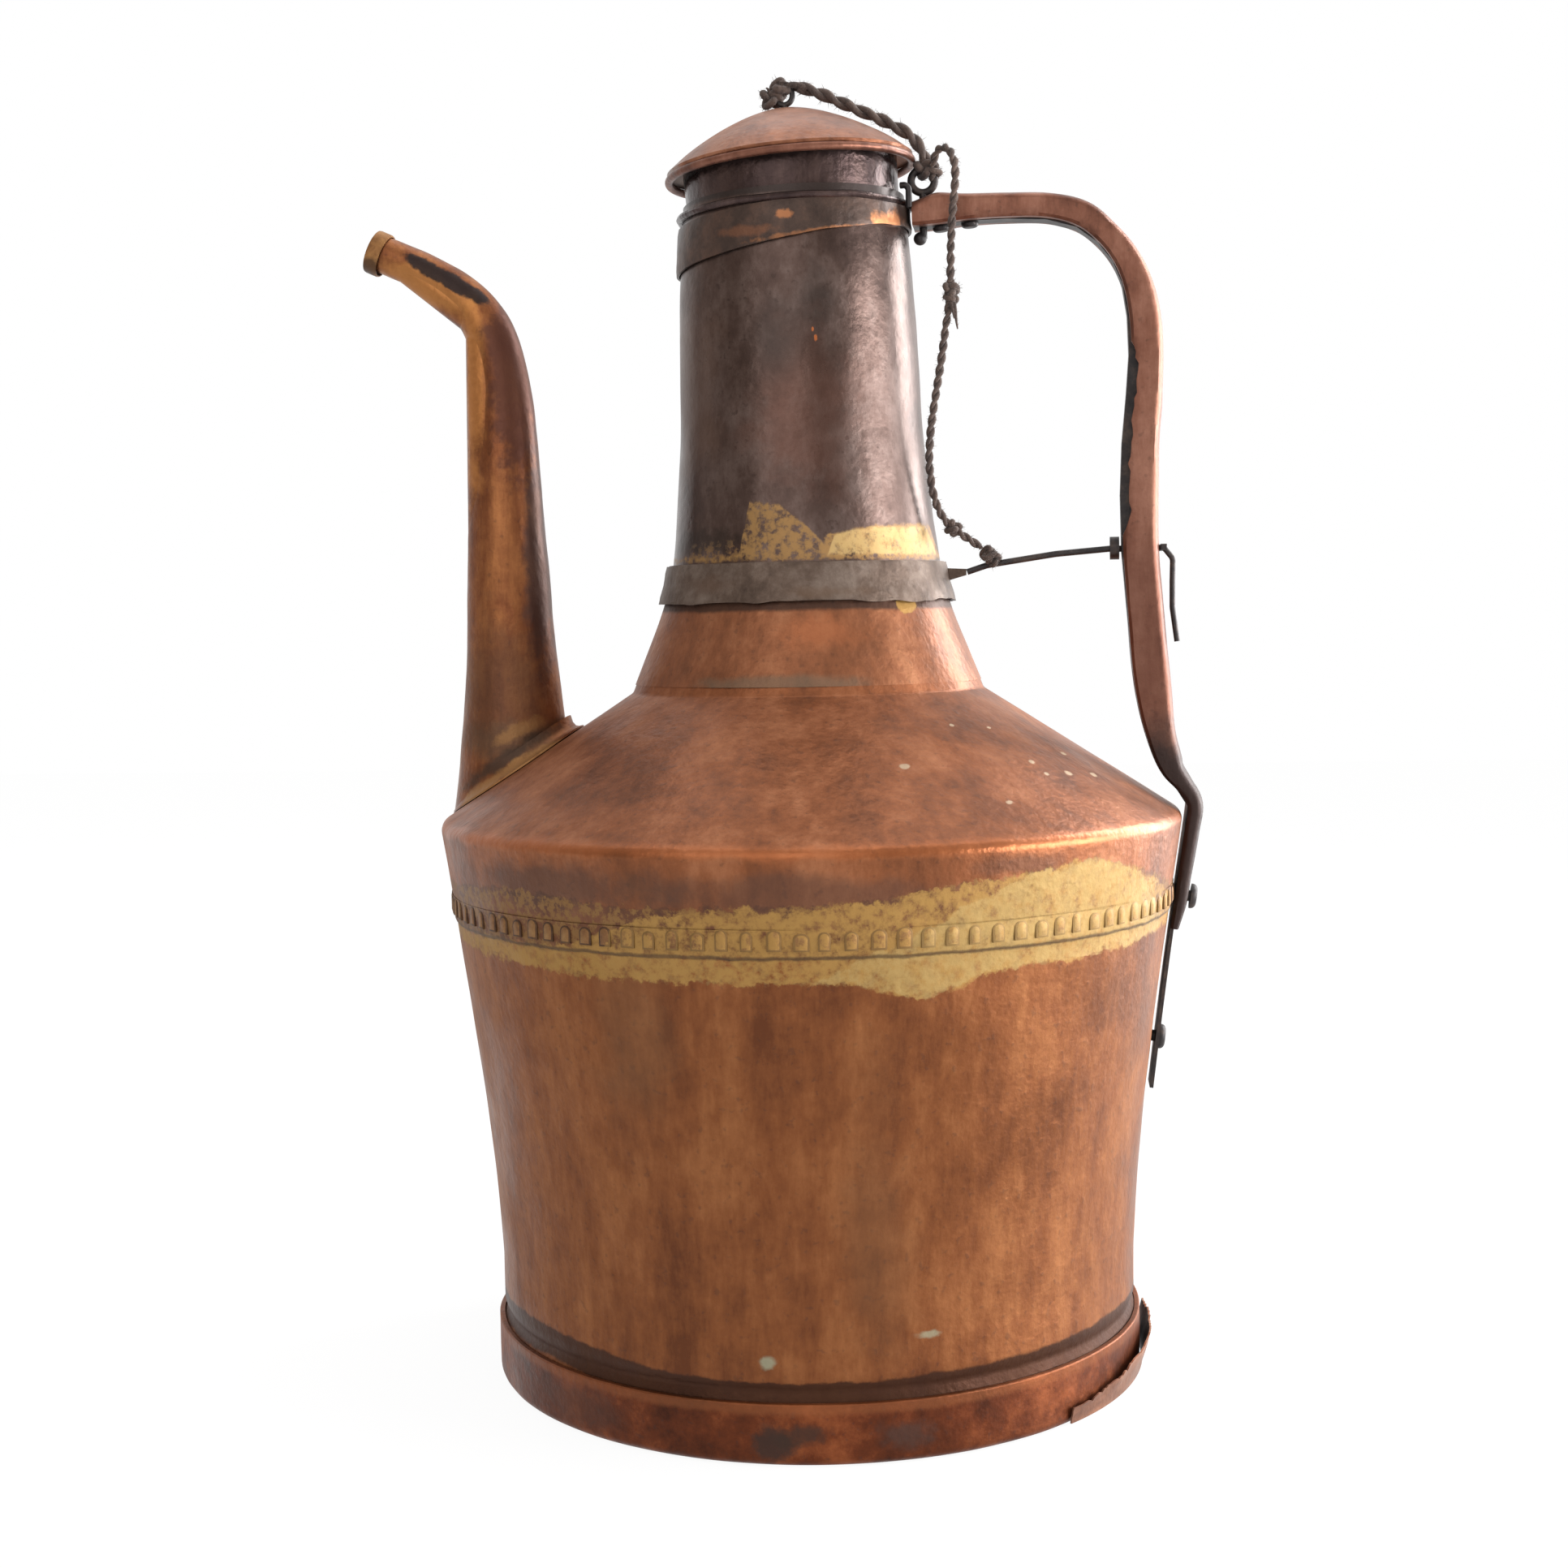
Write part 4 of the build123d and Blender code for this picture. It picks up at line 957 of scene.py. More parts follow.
TIP_STAINS = (
    Spot((-0.156, 0.0, 0.396), (0.006, 0.02, 0.0035), (0.045, 0.022, 0.012), 0.8, 0.5, 0.6, 200.0),
)
HANDLE_STAINS = (
    Belt(0.220, 0.296, (0.105, 0.042, 0.028), 0.5, 0.022, 0.020, 35.0),
    Belt(0.140, 0.226, (0.022, 0.014, 0.013), 0.94, 0.010, 0.012, 60.0, 0.2),
)
DOME_STAINS = (
    Spot((-0.044, 0.0, 0.4215), (0.014, 0.03, 0.008), (0.30, 0.27, 0.25), 0.7, 0.5, 0.5, 120.0),
)
TORN_STAINS = (Belt(0.0, 0.009, (0.10, 0.05, 0.035), 0.6, 0.003, 0.005, 90.0, 0.2),)


def cramp_layers(amount: float, worn: float) -> tuple[Layer, ...]:
    """Gives the braze that covers the cramp teeth on the front and right.

    Args:
        amount: How strongly it covers.
        worn: How far it is whole rather than worn to specks.

    Returns:
        The layers.
    """
    foot = level(0.1625)
    gold = ((0.0, 0.150), (0.425, 0.150), (0.44, 0.180), (0.71, 0.180), (0.74, 0.150), (1.0, 0.150))
    pale = ((0.0, 0.150), (0.545, 0.150), (0.565, 0.180), (0.69, 0.180), (0.71, 0.150), (1.0, 0.150))
    return (
        Ribbon(gold, foot, BRASS_GOLD, SEAM_SPAN, amount, 0.0045, 210.0, worn, 0.3),
        Ribbon(pale, foot, BRASS_PALE, SEAM_SPAN, amount * 0.6, 0.0045, 150.0, worn, 0.3),
    )


def vessel_metals() -> tuple[AgedMetal, ...]:
    """Gives the finishes of the body, its foot, its seam and the cone."""
    return (
        AgedMetal(
            Finish.BODY, (0.108, 0.032, 0.010), (0.190, 0.062, 0.019), (0.285, 0.110, 0.038),
            layers=BODY_STAINS_AND_HIGHLIGHT, streak=(1.0, 1.0, 0.24),
        ),
        AgedMetal(
            Finish.SHOULDER, (0.120, 0.040, 0.016), (0.222, 0.074, 0.028), (0.34, 0.136, 0.062),
            layers=BODY_STAINS_AND_HIGHLIGHT, streak=(1.0, 1.0, 0.3), streak_scale=50.0,
        ),
        AgedMetal(
            Finish.FOOT, (0.042, 0.009, 0.002), (0.112, 0.025, 0.006), (0.26, 0.072, 0.022),
            layers=FOOT_STAINS_AND_HIGHLIGHT, streak=EVEN, streak_scale=40.0,
        ),
        AgedMetal(
            Finish.CONE, (0.13, 0.048, 0.022), (0.235, 0.086, 0.038), (0.35, 0.150, 0.072),
            layers=CONE_STAINS_AND_SHADOW, streak=(1.0, 1.0, 0.3), streak_scale=55.0,
        ),
        AgedMetal(
            Finish.TORN, (0.20, 0.08, 0.05), (0.34, 0.15, 0.085), (0.46, 0.24, 0.15),
            layers=TORN_STAINS, streak=EVEN,
        ),
        AgedMetal(
            Finish.BRAZE, (0.11, 0.046, 0.017), (0.20, 0.094, 0.034), (0.27, 0.15, 0.055),
            layers=cramp_layers(0.9, 0.12), streak=EVEN, streak_scale=200.0, metallic=0.6, smooth=0.45,
            rough=0.65,
        ),
        AgedMetal(
            Finish.CREASE, (0.032, 0.014, 0.006), (0.065, 0.029, 0.012), (0.13, 0.066, 0.026),
            layers=cramp_layers(0.45, -0.02), streak=EVEN, streak_scale=200.0, metallic=0.5, smooth=0.5,
            rough=0.7,
        ),
    )


def neck_metals() -> tuple[AgedMetal, ...]:
    """Gives the finishes of the neck, its strap and band, and the iron pieces."""
    return (
        AgedMetal(
            Finish.NECK, (0.043, 0.027, 0.023), (0.077, 0.049, 0.041), (0.135, 0.096, 0.084),
            layers=NECK_STAINS, streak=(1.0, 1.0, 0.5), metallic=0.85, smooth=0.23, rough=0.42,
            speck=0.45, depth=0.0003,
        ),
        AgedMetal(
            Finish.STRAP, (0.046, 0.029, 0.021), (0.100, 0.068, 0.051), (0.178, 0.136, 0.110),
            layers=STRAP_STAINS, streak=EVEN, metallic=0.7, smooth=0.42,
        ),
        AgedMetal(
            Finish.BAND, (0.036, 0.024, 0.020), (0.062, 0.040, 0.032), (0.115, 0.066, 0.048),
            layers=BAND_STAINS, streak=EVEN, streak_scale=60.0,
        ),
        AgedMetal(
            Finish.IRON_AND_SHADE, (0.018, 0.016, 0.017), (0.035, 0.030, 0.030), (0.085, 0.060, 0.048),
            streak=EVEN, streak_scale=160.0, metallic=0.6, smooth=0.4, depth=0.0004,
        ),
    )


def fitting_metals() -> tuple[AgedMetal, ...]:
    """Gives the finishes of the spout, the handle and the lid."""
    return (
        AgedMetal(
            Finish.SPOUT, (0.070, 0.021, 0.008), (0.175, 0.056, 0.019), (0.31, 0.120, 0.040),
            layers=SPOUT_STAINS, streak=(1.0, 1.0, 0.16), streak_scale=80.0, smooth=0.3, rough=0.5,
        ),
        AgedMetal(
            Finish.TIP, (0.06, 0.030, 0.014), (0.19, 0.085, 0.030), (0.34, 0.17, 0.06),
            layers=TIP_STAINS, streak=EVEN, streak_scale=90.0,
        ),
        AgedMetal(
            Finish.HANDLE, (0.080, 0.029, 0.018), (0.180, 0.073, 0.046), (0.285, 0.136, 0.092),
            layers=HANDLE_STAINS, streak=(1.0, 1.0, 0.2), speck=0.3,
        ),
        AgedMetal(
            Finish.DOME, (0.150, 0.053, 0.026), (0.262, 0.103, 0.052), (0.37, 0.168, 0.096),
            layers=DOME_STAINS, streak=(1.0, 1.0, 0.5), streak_scale=50.0, smooth=0.34,
        ),
        AgedMetal(
            Finish.SKIRT, (0.030, 0.019, 0.019), (0.052, 0.033, 0.031), (0.105, 0.068, 0.060),
            streak_scale=60.0, metallic=0.85, smooth=0.22, rough=0.45,
        ),
    )


def build_finishes() -> Finishes:
    """Builds every shared material once.

    Returns:
        The materials by their finish.
    """
    rope = Twine(Finish.ROPE, (0.013, 0.008, 0.008), (0.125, 0.079, 0.060))
    kinds = (*vessel_metals(), *neck_metals(), *fitting_metals(), rope)
    return {kind.finish: kind.build() for kind in kinds}


def dress(piece: bpy.types.Object, material: bpy.types.Material) -> None:
    """Gives a piece one material in every slot.

    Args:
        piece: The piece.
        material: Its material.
    """
    if not piece.data.materials:
        piece.data.materials.append(material)
    for slot in piece.material_slots:
        slot.material = material


def settle(
    piece: bpy.types.Object, material: bpy.types.Material, body: str, node: str
) -> None:
    """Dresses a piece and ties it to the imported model.

    Args:
        piece: The piece.
        material: Its material.
        body: The body that it moves with.
        node: The node that it replaces.
    """
    dress(piece, material)
    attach(piece, body)
    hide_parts(node)


# Camera, lamps and floor


@dataclass
class Studio:
    """The photograph's viewpoint, soft lamps and a plain pale floor."""

    camera_place: Place = (0.08813, -0.7952, 0.2704)
    bearing: float = 7.0
    pitch: float = 4.49
    roll: float = 1.05
    lens_pixels: float = 2745.0
    frame_pixels: float = 1932.0
    sensor: float = 36.0
    floor_size: float = 6.0
    floor_drop: float = 0.0002
    floor_colour: Colour = (0.86, 0.86, 0.86)
    floor_white: float = 0.9
    floor_glow: float = 1.03
    bright_side: Place = (0.40, 0.92, 0.0)
    room_reach: Span = (-0.95, 0.25)
    room_light: Span = (0.45, 1.0)
    room_tint: Colour = (1.0, 0.75, 0.54)
    glow_reach: Span = (-0.9, 1.0)
    glow_light: Span = (0.36, 1.2)
    glow_tint: Colour = (1.0, 0.99, 0.98)

    def build_camera(self) -> None:
        """Sets the camera at the photograph's viewpoint."""
        data = bpy.data.cameras.new("photo_camera")
        data.sensor_width = self.sensor
        data.sensor_fit = "HORIZONTAL"
        data.lens = self.lens_pixels / self.frame_pixels * self.sensor
        data.clip_start, data.clip_end = 0.01, 50.0
        camera = bpy.data.objects.new("photo_camera", data)
        turn = Matrix.Rotation(math.radians(self.bearing), 4, "Z")
        nod = Matrix.Rotation(math.radians(90 - self.pitch), 4, "X")
        lean = Matrix.Rotation(math.radians(-self.roll), 4, "Z")
        camera.matrix_world = Matrix.Translation(self.camera_place) @ turn @ nod @ lean
        bpy.context.scene.collection.objects.link(camera)
        bpy.context.scene.camera = camera

    def build_lamp(
        self, name: str, place: Place, aim: Place, size: tuple[float, float], power: float
    ) -> None:
        """Adds a soft rectangular lamp.

        Args:
            name: The lamp's name.
            place: Where it stands.
            aim: The point that it faces.
            size: Its width and height.
            power: Its power in watts.
        """
        data = bpy.data.lights.new(name, "AREA")
        data.shape = "RECTANGLE"
        data.size, data.size_y = size
        data.energy = power
        lamp = bpy.data.objects.new(name, data)
        lamp.location = place
        lamp.rotation_euler = (Vector(aim) - Vector(place)).to_track_quat("-Z", "Y").to_euler()
        bpy.context.scene.collection.objects.link(lamp)

    def shown(self, tree: bpy.types.NodeTree) -> Socket:
        """Gives 1 for the rays that show the background: camera, glossy and transmission rays."""
        rays = add_node(tree, "ShaderNodeLightPath").outputs
        share = rays["Is Camera Ray"]
        for name in ("Is Glossy Ray", "Is Transmission Ray"):
            share = add_node(
                tree, "ShaderNodeMath", {0: share, 1: rays[name]}, operation="MAXIMUM"
            ).outputs[0]
        return share

    def fade(self, tree: bpy.types.NodeTree, value: Socket, reach: Span, light: Span) -> Socket:
        """Gives a light that changes smoothly over a span of values.

        Args:
            tree: The node tree.
            value: The value that it follows.
            reach: Where the change starts and ends.
            light: The light at the start and at the end.

        Returns:
            The light.
        """
        entries = {
            "Value": value, "From Min": reach[0], "From Max": reach[1], "To Min": light[0],
            "To Max": light[1],
        }
        made = add_node(tree, "ShaderNodeMapRange", entries, interpolation_type="SMOOTHSTEP")
        return made.outputs["Result"]

    def build_world(self) -> None:
        """Makes a white world whose reflection fades toward the room behind the camera."""
        world = bpy.data.worlds.new("studio_white")
        bpy.context.scene.world = world
        world.use_nodes = True
        tree = world.node_tree
        tree.nodes.clear()
        around = add_node(tree, "ShaderNodeTexCoord").outputs["Generated"]
        facing = add_node(
            tree, "ShaderNodeVectorMath", {0: around, 1: self.bright_side}, operation="DOT_PRODUCT"
        )
        room = self.fade(tree, facing.outputs["Value"], self.room_reach, self.room_light)
        direct = add_node(tree, "ShaderNodeLightPath").outputs["Is Camera Ray"]
        strength = add_node(tree, "ShaderNodeMath", {0: direct, 1: room}, operation="MAXIMUM").outputs[0]
        tint = add_node(
            tree, "ShaderNodeMix", {0: strength, 6: self.room_tint, 7: (1.0, 1.0, 1.0)}, data_type="RGBA"
        )
        seen = add_node(tree, "ShaderNodeBackground", {"Color": tint.outputs[2], "Strength": strength})
        across = add_node(tree, "ShaderNodeSeparateXYZ", {0: around}).outputs[0]
        glow = self.fade(tree, across, self.glow_reach, self.glow_light)
        soft = add_node(tree, "ShaderNodeBackground", {"Color": self.glow_tint, "Strength": glow})
        mix = add_node(
            tree, "ShaderNodeMixShader", {0: self.shown(tree), 1: soft.outputs[0], 2: seen.outputs[0]}
        )
        add_node(tree, "ShaderNodeOutputWorld", {"Surface": mix.outputs[0]})

    def build_floor(self) -> None:
        """Lays a pale floor that looks white, also in reflections, and keeps a light shadow."""
        half = self.floor_size / 2
        mesh = bpy.data.meshes.new("studio_floor")
        corners = [(-half, -half, 0.0), (half, -half, 0.0), (half, half, 0.0), (-half, half, 0.0)]
        mesh.from_pydata(corners, [], [(0, 1, 2, 3)])
        floor = bpy.data.objects.new("studio_floor", mesh)
        floor.location = (0.0, 0.0, -self.floor_drop)
        bpy.context.scene.collection.objects.link(floor)
        material = bpy.data.materials.new("pale_floor")
        material.use_nodes = True
        tree = material.node_tree
        tree.nodes.clear()
        share = add_node(
            tree, "ShaderNodeMath", {0: self.shown(tree), 1: self.floor_white}, operation="MULTIPLY"
        )
        matt = add_node(tree, "ShaderNodeBsdfDiffuse", {"Color": self.floor_colour})
        glow = add_node(tree, "ShaderNodeEmission", {"Strength": self.floor_glow})
        mix = add_node(
            tree, "ShaderNodeMixShader", {0: share.outputs[0], 1: matt.outputs[0], 2: glow.outputs[0]}
        )
        add_node(tree, "ShaderNodeOutputMaterial", {"Surface": mix.outputs[0]})
        mesh.materials.append(material)

    def build(self) -> None:
        """Builds the whole studio."""
        self.build_camera()
        self.build_world()
        self.build_floor()
        self.build_lamp("window_behind", (0.95, 0.62, 0.55), (0.0, 0.0, 0.25), (0.55, 1.3), 26.0)
        self.build_lamp("window_right", (1.25, -0.20, 0.20), (0.0, 0.0, 0.10), (0.8, 0.8), 26.0)
        self.build_lamp("front_soft", (-0.3, -1.5, 0.9), (0.0, 0.0, 0.22), (1.4, 1.2), 8.0)
        self.build_lamp("top_soft", (0.1, 0.2, 1.6), (0.0, 0.0, 0.2), (1.4, 1.4), 7.0)
        bpy.context.scene.view_settings.view_transform = "Standard"


# Cords


def cord_line(name: str, route: Sequence[Place]) -> list[Vector]:
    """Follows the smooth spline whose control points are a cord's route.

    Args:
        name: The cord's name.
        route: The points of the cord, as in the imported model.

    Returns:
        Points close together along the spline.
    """
    curve = bpy.data.curves.new(name + "_line", "CURVE")
    curve.dimensions = "3D"
    spline = curve.splines.new("NURBS")
    spline.points.add(len(route) - 1)
    for point, place in zip(spline.points, route):
        point.co = (*place, 1.0)
    spline.order_u = 3
    spline.use_endpoint_u = True
    spline.resolution_u = 20
    holder = bpy.data.objects.new(name + "_line", curve)
    bpy.context.scene.collection.objects.link(holder)
    bpy.context.view_layer.update()
    evaluated = holder.evaluated_get(bpy.context.evaluated_depsgraph_get())
    mesh = bpy.data.meshes.new_from_object(evaluated)
    line = [vertex.co.copy() for vertex in mesh.vertices]
    bpy.data.objects.remove(holder)
    bpy.data.curves.remove(curve)
    bpy.data.meshes.remove(mesh)
    return line


def new_tree(name: str, inputs: Sequence[tuple[str, str, object]]) -> bpy.types.GeometryNodeTree:
    """Starts a Geometry Nodes tree with a geometry entry and exit and named inputs.

    Args:
        name: The tree's name.
        inputs: Each input's name, socket type and value.

    Returns:
        The tree.
    """
    tree = bpy.data.node_groups.new(name, "GeometryNodeTree")
    tree.interface.new_socket(name="Geometry", in_out="OUTPUT", socket_type="NodeSocketGeometry")
    tree.interface.new_socket(name="Geometry", in_out="INPUT", socket_type="NodeSocketGeometry")
    for label, kind, value in inputs:
        entry = tree.interface.new_socket(name=label, in_out="INPUT", socket_type=kind)
        if value is not None:
            entry.default_value = value
    return tree


def finish_tree(
    tree: bpy.types.GeometryNodeTree, geometry: Socket, material: bpy.types.Material
) -> None:
    """Makes a tree's instances real, paints them and hands them out.

    Args:
        tree: The tree.
        geometry: The geometry with its instances.
        material: The material of the result.
    """
    real = add_node(tree, "GeometryNodeRealizeInstances", {"Geometry": geometry})
    paint = add_node(tree, "GeometryNodeSetMaterial", {
        "Geometry": real.outputs["Geometry"], "Material": material,
    })
    add_node(tree, "NodeGroupOutput", {"Geometry": paint.outputs["Geometry"]})


def run_tree(
    piece: bpy.types.Object, tree: bpy.types.GeometryNodeTree, values: dict[str, object]
) -> bpy.types.Object:
    """Runs a Geometry Nodes tree on a piece and keeps the result as its plain mesh.

    Args:
        piece: The object that the tree starts from.
        tree: The tree.
        values: Values by input name.

    Returns:
        The same object with its new mesh.
    """
    modifier = piece.modifiers.new(tree.name, "NODES")
    modifier.node_group = tree
    for item in tree.interface.items_tree:
        if item.item_type == "SOCKET" and item.in_out == "INPUT" and item.name in values:
            modifier[item.identifier] = values[item.name]
    bpy.context.view_layer.update()
    evaluated = piece.evaluated_get(bpy.context.evaluated_depsgraph_get())
    mesh = bpy.data.meshes.new_from_object(evaluated)
    piece.modifiers.remove(modifier)
    old = piece.data
    piece.data = mesh
    bpy.data.meshes.remove(old)
    return piece


def fibre_tree(material: bpy.types.Material) -> bpy.types.GeometryNodeTree:
    """Builds the tree that scatters loose fibres over a cord.

    Args:
        material: The fibres' material.

    Returns:
        The tree, with inputs for density, fibre length, fibre radius and seed.
    """
    tree = new_tree("loose_fibres", (
        ("Density", "NodeSocketFloat", 100000.0),
        ("Fibre Length", "NodeSocketFloat", 0.002),
        ("Fibre Radius", "NodeSocketFloat", 0.00008),
        ("Seed", "NodeSocketInt", 3),
    ))
    entry = add_node(tree, "NodeGroupInput").outputs
    scatter = add_node(tree, "GeometryNodeDistributePointsOnFaces", {
        "Mesh": entry["Geometry"], "Density": entry["Density"], "Seed": entry["Seed"],
    }).outputs
    hair = add_node(tree, "GeometryNodeMeshCone", {
        "Vertices": 3, "Radius Top": 0.00002, "Radius Bottom": entry["Fibre Radius"],
        "Depth": entry["Fibre Length"],
    })
    turn = add_node(tree, "FunctionNodeRandomValue", {
        0: (-1.1, -1.1, -3.1), 1: (1.1, 1.1, 3.1), "Seed": entry["Seed"],
    }, data_type="FLOAT_VECTOR")
    tilt = add_node(tree, "FunctionNodeRotateRotation", {
        "Rotation": scatter["Rotation"], "Rotate By": turn.outputs[0],
    }, rotation_space="LOCAL")
    size = add_node(
        tree, "FunctionNodeRandomValue", {2: 0.4, 3: 1.2, "Seed": entry["Seed"]}, data_type="FLOAT"
    )
    place = add_node(tree, "GeometryNodeInstanceOnPoints", {
        "Points": scatter["Points"], "Instance": hair.outputs["Mesh"], "Rotation": tilt.outputs[0],
        "Scale": size.outputs[1],
    })
    join = add_node(tree, "GeometryNodeJoinGeometry", {"Geometry": place.outputs["Instances"]})
    feed(tree, join.inputs["Geometry"], entry["Geometry"])
    finish_tree(tree, join.outputs["Geometry"], material)
    return tree


@dataclass
class Cords:
    """The tether between lid and handle, the hanging cord and all their knots."""

    tether_diameter: float = 0.0046
    hanging_diameter: float = 0.0030
    tether_route: tuple[Place, ...] = (
        (0.0004, 0.0, 0.4532), (0.0062, -0.0006, 0.4512), (0.0132, -0.0010, 0.4480),
        (0.0204, -0.0008, 0.4444),
        (0.0278, -0.0004, 0.4413), (0.0352, 0.0, 0.4376), (0.0418, 0.0002, 0.4332), (0.0446, 0.0002, 0.4256),
    )
    hanging_route: tuple[Place, ...] = (
        (0.0472, -0.0027, 0.4236), (0.0478, -0.0049, 0.4272), (0.0506, -0.0080, 0.4292),
        (0.0540, -0.0114, 0.4268),
        (0.0556, -0.0138, 0.4206), (0.0550, -0.0148, 0.4118), (0.0539, -0.0148, 0.4015),
        (0.0534, -0.0150, 0.3895),
        (0.0532, -0.0150, 0.3776), (0.0514, -0.0152, 0.3655), (0.0496, -0.0156, 0.3534),
        (0.0474, -0.0166, 0.3410),
        (0.0456, -0.0174, 0.3290), (0.0452, -0.0174, 0.3175), (0.0468, -0.0156, 0.3070),
        (0.0500, -0.0114, 0.2998),
        (0.0562, -0.0080, 0.2950), (0.0624, -0.0048, 0.2908),
    )

    def strands(
        self, name: str, line: list[Vector], diameter: float, lay: float, count: int
    ) -> bpy.types.Object:
        """Twists strands round a cord's line.

        Args:
            name: The piece's name.
            line: The cord's centre line.
            diameter: The cord's diameter.
            lay: The length of one full twist.
            count: How many strands the cord has.

        Returns:
            The strands as one object.
        """
        track = Track(line)
        total = track.lengths[-1]
        strand = diameter * (0.27 if count == 2 else 0.25)
        offset = diameter / 2 - strand
        parts = []
        for number in range(count):
            phase = math.tau * number / count
            path = []
            steps = round(total / 0.0005)
            for index in range(steps + 1):
                distance = total * index / steps
                point, forward, side = track.at(distance)
                other = forward.cross(side)
                wobble = 0.5 * noise.noise(Vector((distance * 90, number * 5.0, 1.0)))
                angle = phase + math.tau * distance / lay + wobble
                path.append(point + (side * math.cos(angle) + other * math.sin(angle)) * offset)
            thick = [
                1 + 0.16 * noise.noise(Vector((index * 0.12, number * 7.0, 4.0))) for index in range(101)
            ]
            rings = tube_rings(
                Track(path), lambda share, sizes=thick: strand * min(1.06, sizes[round(share * 100)]),
                0.0006, 9,
            )
            parts.append(loft(f"{name}_strand_{number}", rings, sharp=CORD_SHARP))
        return joined(name, parts)

    def knot(self, name: str, centre: Place, size: Place, strand: float, turn: Place) -> bpy.types.Object:
        """Ties an overhand knot of one strand.

        Args:
            name: The piece's name.
            centre: The middle of the knot.
            size: Its half sizes before it is turned.
            strand: The strand's radius.
            turn: Its turn about X, Y and Z in degrees.

        Returns:
            The knot.
        """
        spin = Matrix.Identity(3)
        for degrees, axis in zip(reversed(turn), "ZYX"):
            spin = spin @ Matrix.Rotation(math.radians(degrees), 3, axis)
        steps = 120
        rings = []
        path = []
        for index in range(steps):
            t = math.tau * index / steps
            raw = Vector((
                (math.sin(t) + 2 * math.sin(2 * t)) / 3 * size[0],
                (math.cos(t) - 2 * math.cos(2 * t)) / 3 * size[1],
                -math.sin(3 * t) * size[2],
            ))
            path.append(Vector(centre) + spin @ raw)
        for index, point in enumerate(path):
            forward = (path[(index + 1) % steps] - path[index - 1]).normalized()
            side = forward.cross(point - Vector(centre)).normalized()
            other = forward.cross(side)
            thick = strand * (1 + 0.12 * noise.noise(point * 900))
            rings.append([
                point + (side * math.cos(a) + other * math.sin(a)) * thick
                for a in (math.tau * corner / 9 for corner in range(9))
            ])
        return loft(name, rings, closed=True, sharp=CORD_SHARP)

    def tail(self, name: str, points: Sequence[Place], strand: float) -> bpy.types.Object:
        """Makes a short loose end that thins toward its tip.

        Args:
            name: The piece's name.
            points: The points that it passes.
            strand: Its radius at the start.

        Returns:
            The loose end.
        """
        track = Track([Vector(place) for place in smooth_line(points, 8)])
        rings = tube_rings(track, lambda share: strand * (1.0 - 0.75 * share), 0.0005, 7)
        return loft(name, rings, sharp=CORD_SHARP)

    def build(self, finishes: Finishes) -> None:
        """Builds both cords with their knots, loose ends and fibres."""
        rope = finishes[Finish.ROPE]
        fibres = fibre_tree(rope)
        lid_middle, eye_middle = (sum(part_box(name), Vector()) / 2 for name in ("lid_knot", "eye_knot"))
        lid_knot = joined("lid_rope_knot", (
            self.knot("lid_knot_a", lid_middle + Vector((-0.0016, 0.0, -0.0014)), (0.0034, 0.0026, 0.0018),
                      0.0013, (70.0, 20.0, 0.0)),
            self.knot("lid_knot_b", lid_middle + Vector((0.0018, 0.0, 0.0018)), (0.0030, 0.0026, 0.0018),
                      0.0013, (20.0, 60.0, 40.0)),
            self.tail(
                "lid_tail", ((-0.0092, 0.0, 0.4500), (-0.0104, -0.001, 0.4525), (-0.0112, -0.001, 0.4532)),
                0.0011,
            ),
            self.tail("lid_turn_a", (
                (0.0030, -0.0004, 0.4522), (0.0004, -0.0010, 0.4534), (-0.0026, -0.0014, 0.4538),
                (-0.0056, -0.0010, 0.4530),
                (-0.0076, -0.0002, 0.4508),
            ), 0.0016),
            self.tail("lid_turn_b", (
                (0.0030, 0.0006, 0.4520), (0.0004, 0.0012, 0.4528), (-0.0026, 0.0014, 0.4530),
                (-0.0052, 0.0012, 0.4522),
            ), 0.0015),
            *(self.tail(f"lid_fray_{number}", (
                (-0.0020, -0.0008, 0.4536), (-0.0040 - 0.0006 * number, -0.0020 + 0.001 * number, 0.4546),
                (-0.0062 - 0.0005 * number, -0.0034 + 0.0018 * number, 0.4548 + 0.0005 * (number % 2)),
            ), 0.0005) for number in range(4)),
        ))
        eye_knot = joined("eye_rope_knot", (
            self.knot("eye_knot_a", eye_middle + Vector((-0.001, 0.0, 0.0004)), (0.0032, 0.0027, 0.0020),
                      0.0013, (80.0, 10.0, 0.0)),
            self.knot("eye_knot_b", eye_middle + Vector((0.0022, -0.0006, -0.0008)), (0.0024, 0.0020, 0.0015),
                      0.0011, (10.0, 70.0, 30.0)),
        ))
        middle_knot = joined("middle_rope_knot", (
            self.knot(
                "middle_knot_a", (0.0534, -0.0151, 0.3790), (0.0022, 0.0022, 0.0020), 0.0011,
                (90.0, 20.0, 0.0),
            ),
            self.knot(
                "middle_knot_b", (0.0534, -0.0151, 0.3762), (0.0018, 0.0018, 0.0014), 0.0010,
                (30.0, 80.0, 0.0),
            ),
            self.tail("middle_tail_a", (
                (0.0540, -0.0158, 0.3760), (0.0548, -0.0162, 0.3722), (0.0552, -0.0160, 0.3682),
                (0.0556, -0.0158, 0.3655),
            ), 0.0010),
            self.tail("middle_tail_b", (
                (0.0532, -0.0162, 0.3755), (0.0540, -0.0168, 0.3722), (0.0545, -0.0166, 0.3690),
            ), 0.0009),
        ))
        lower_knot = self.knot(
            "lower_rope_knot", (0.0529, -0.0098, 0.2975), (0.0021, 0.0021, 0.0017), 0.0010, (40.0, 50.0, 0.0)
        )
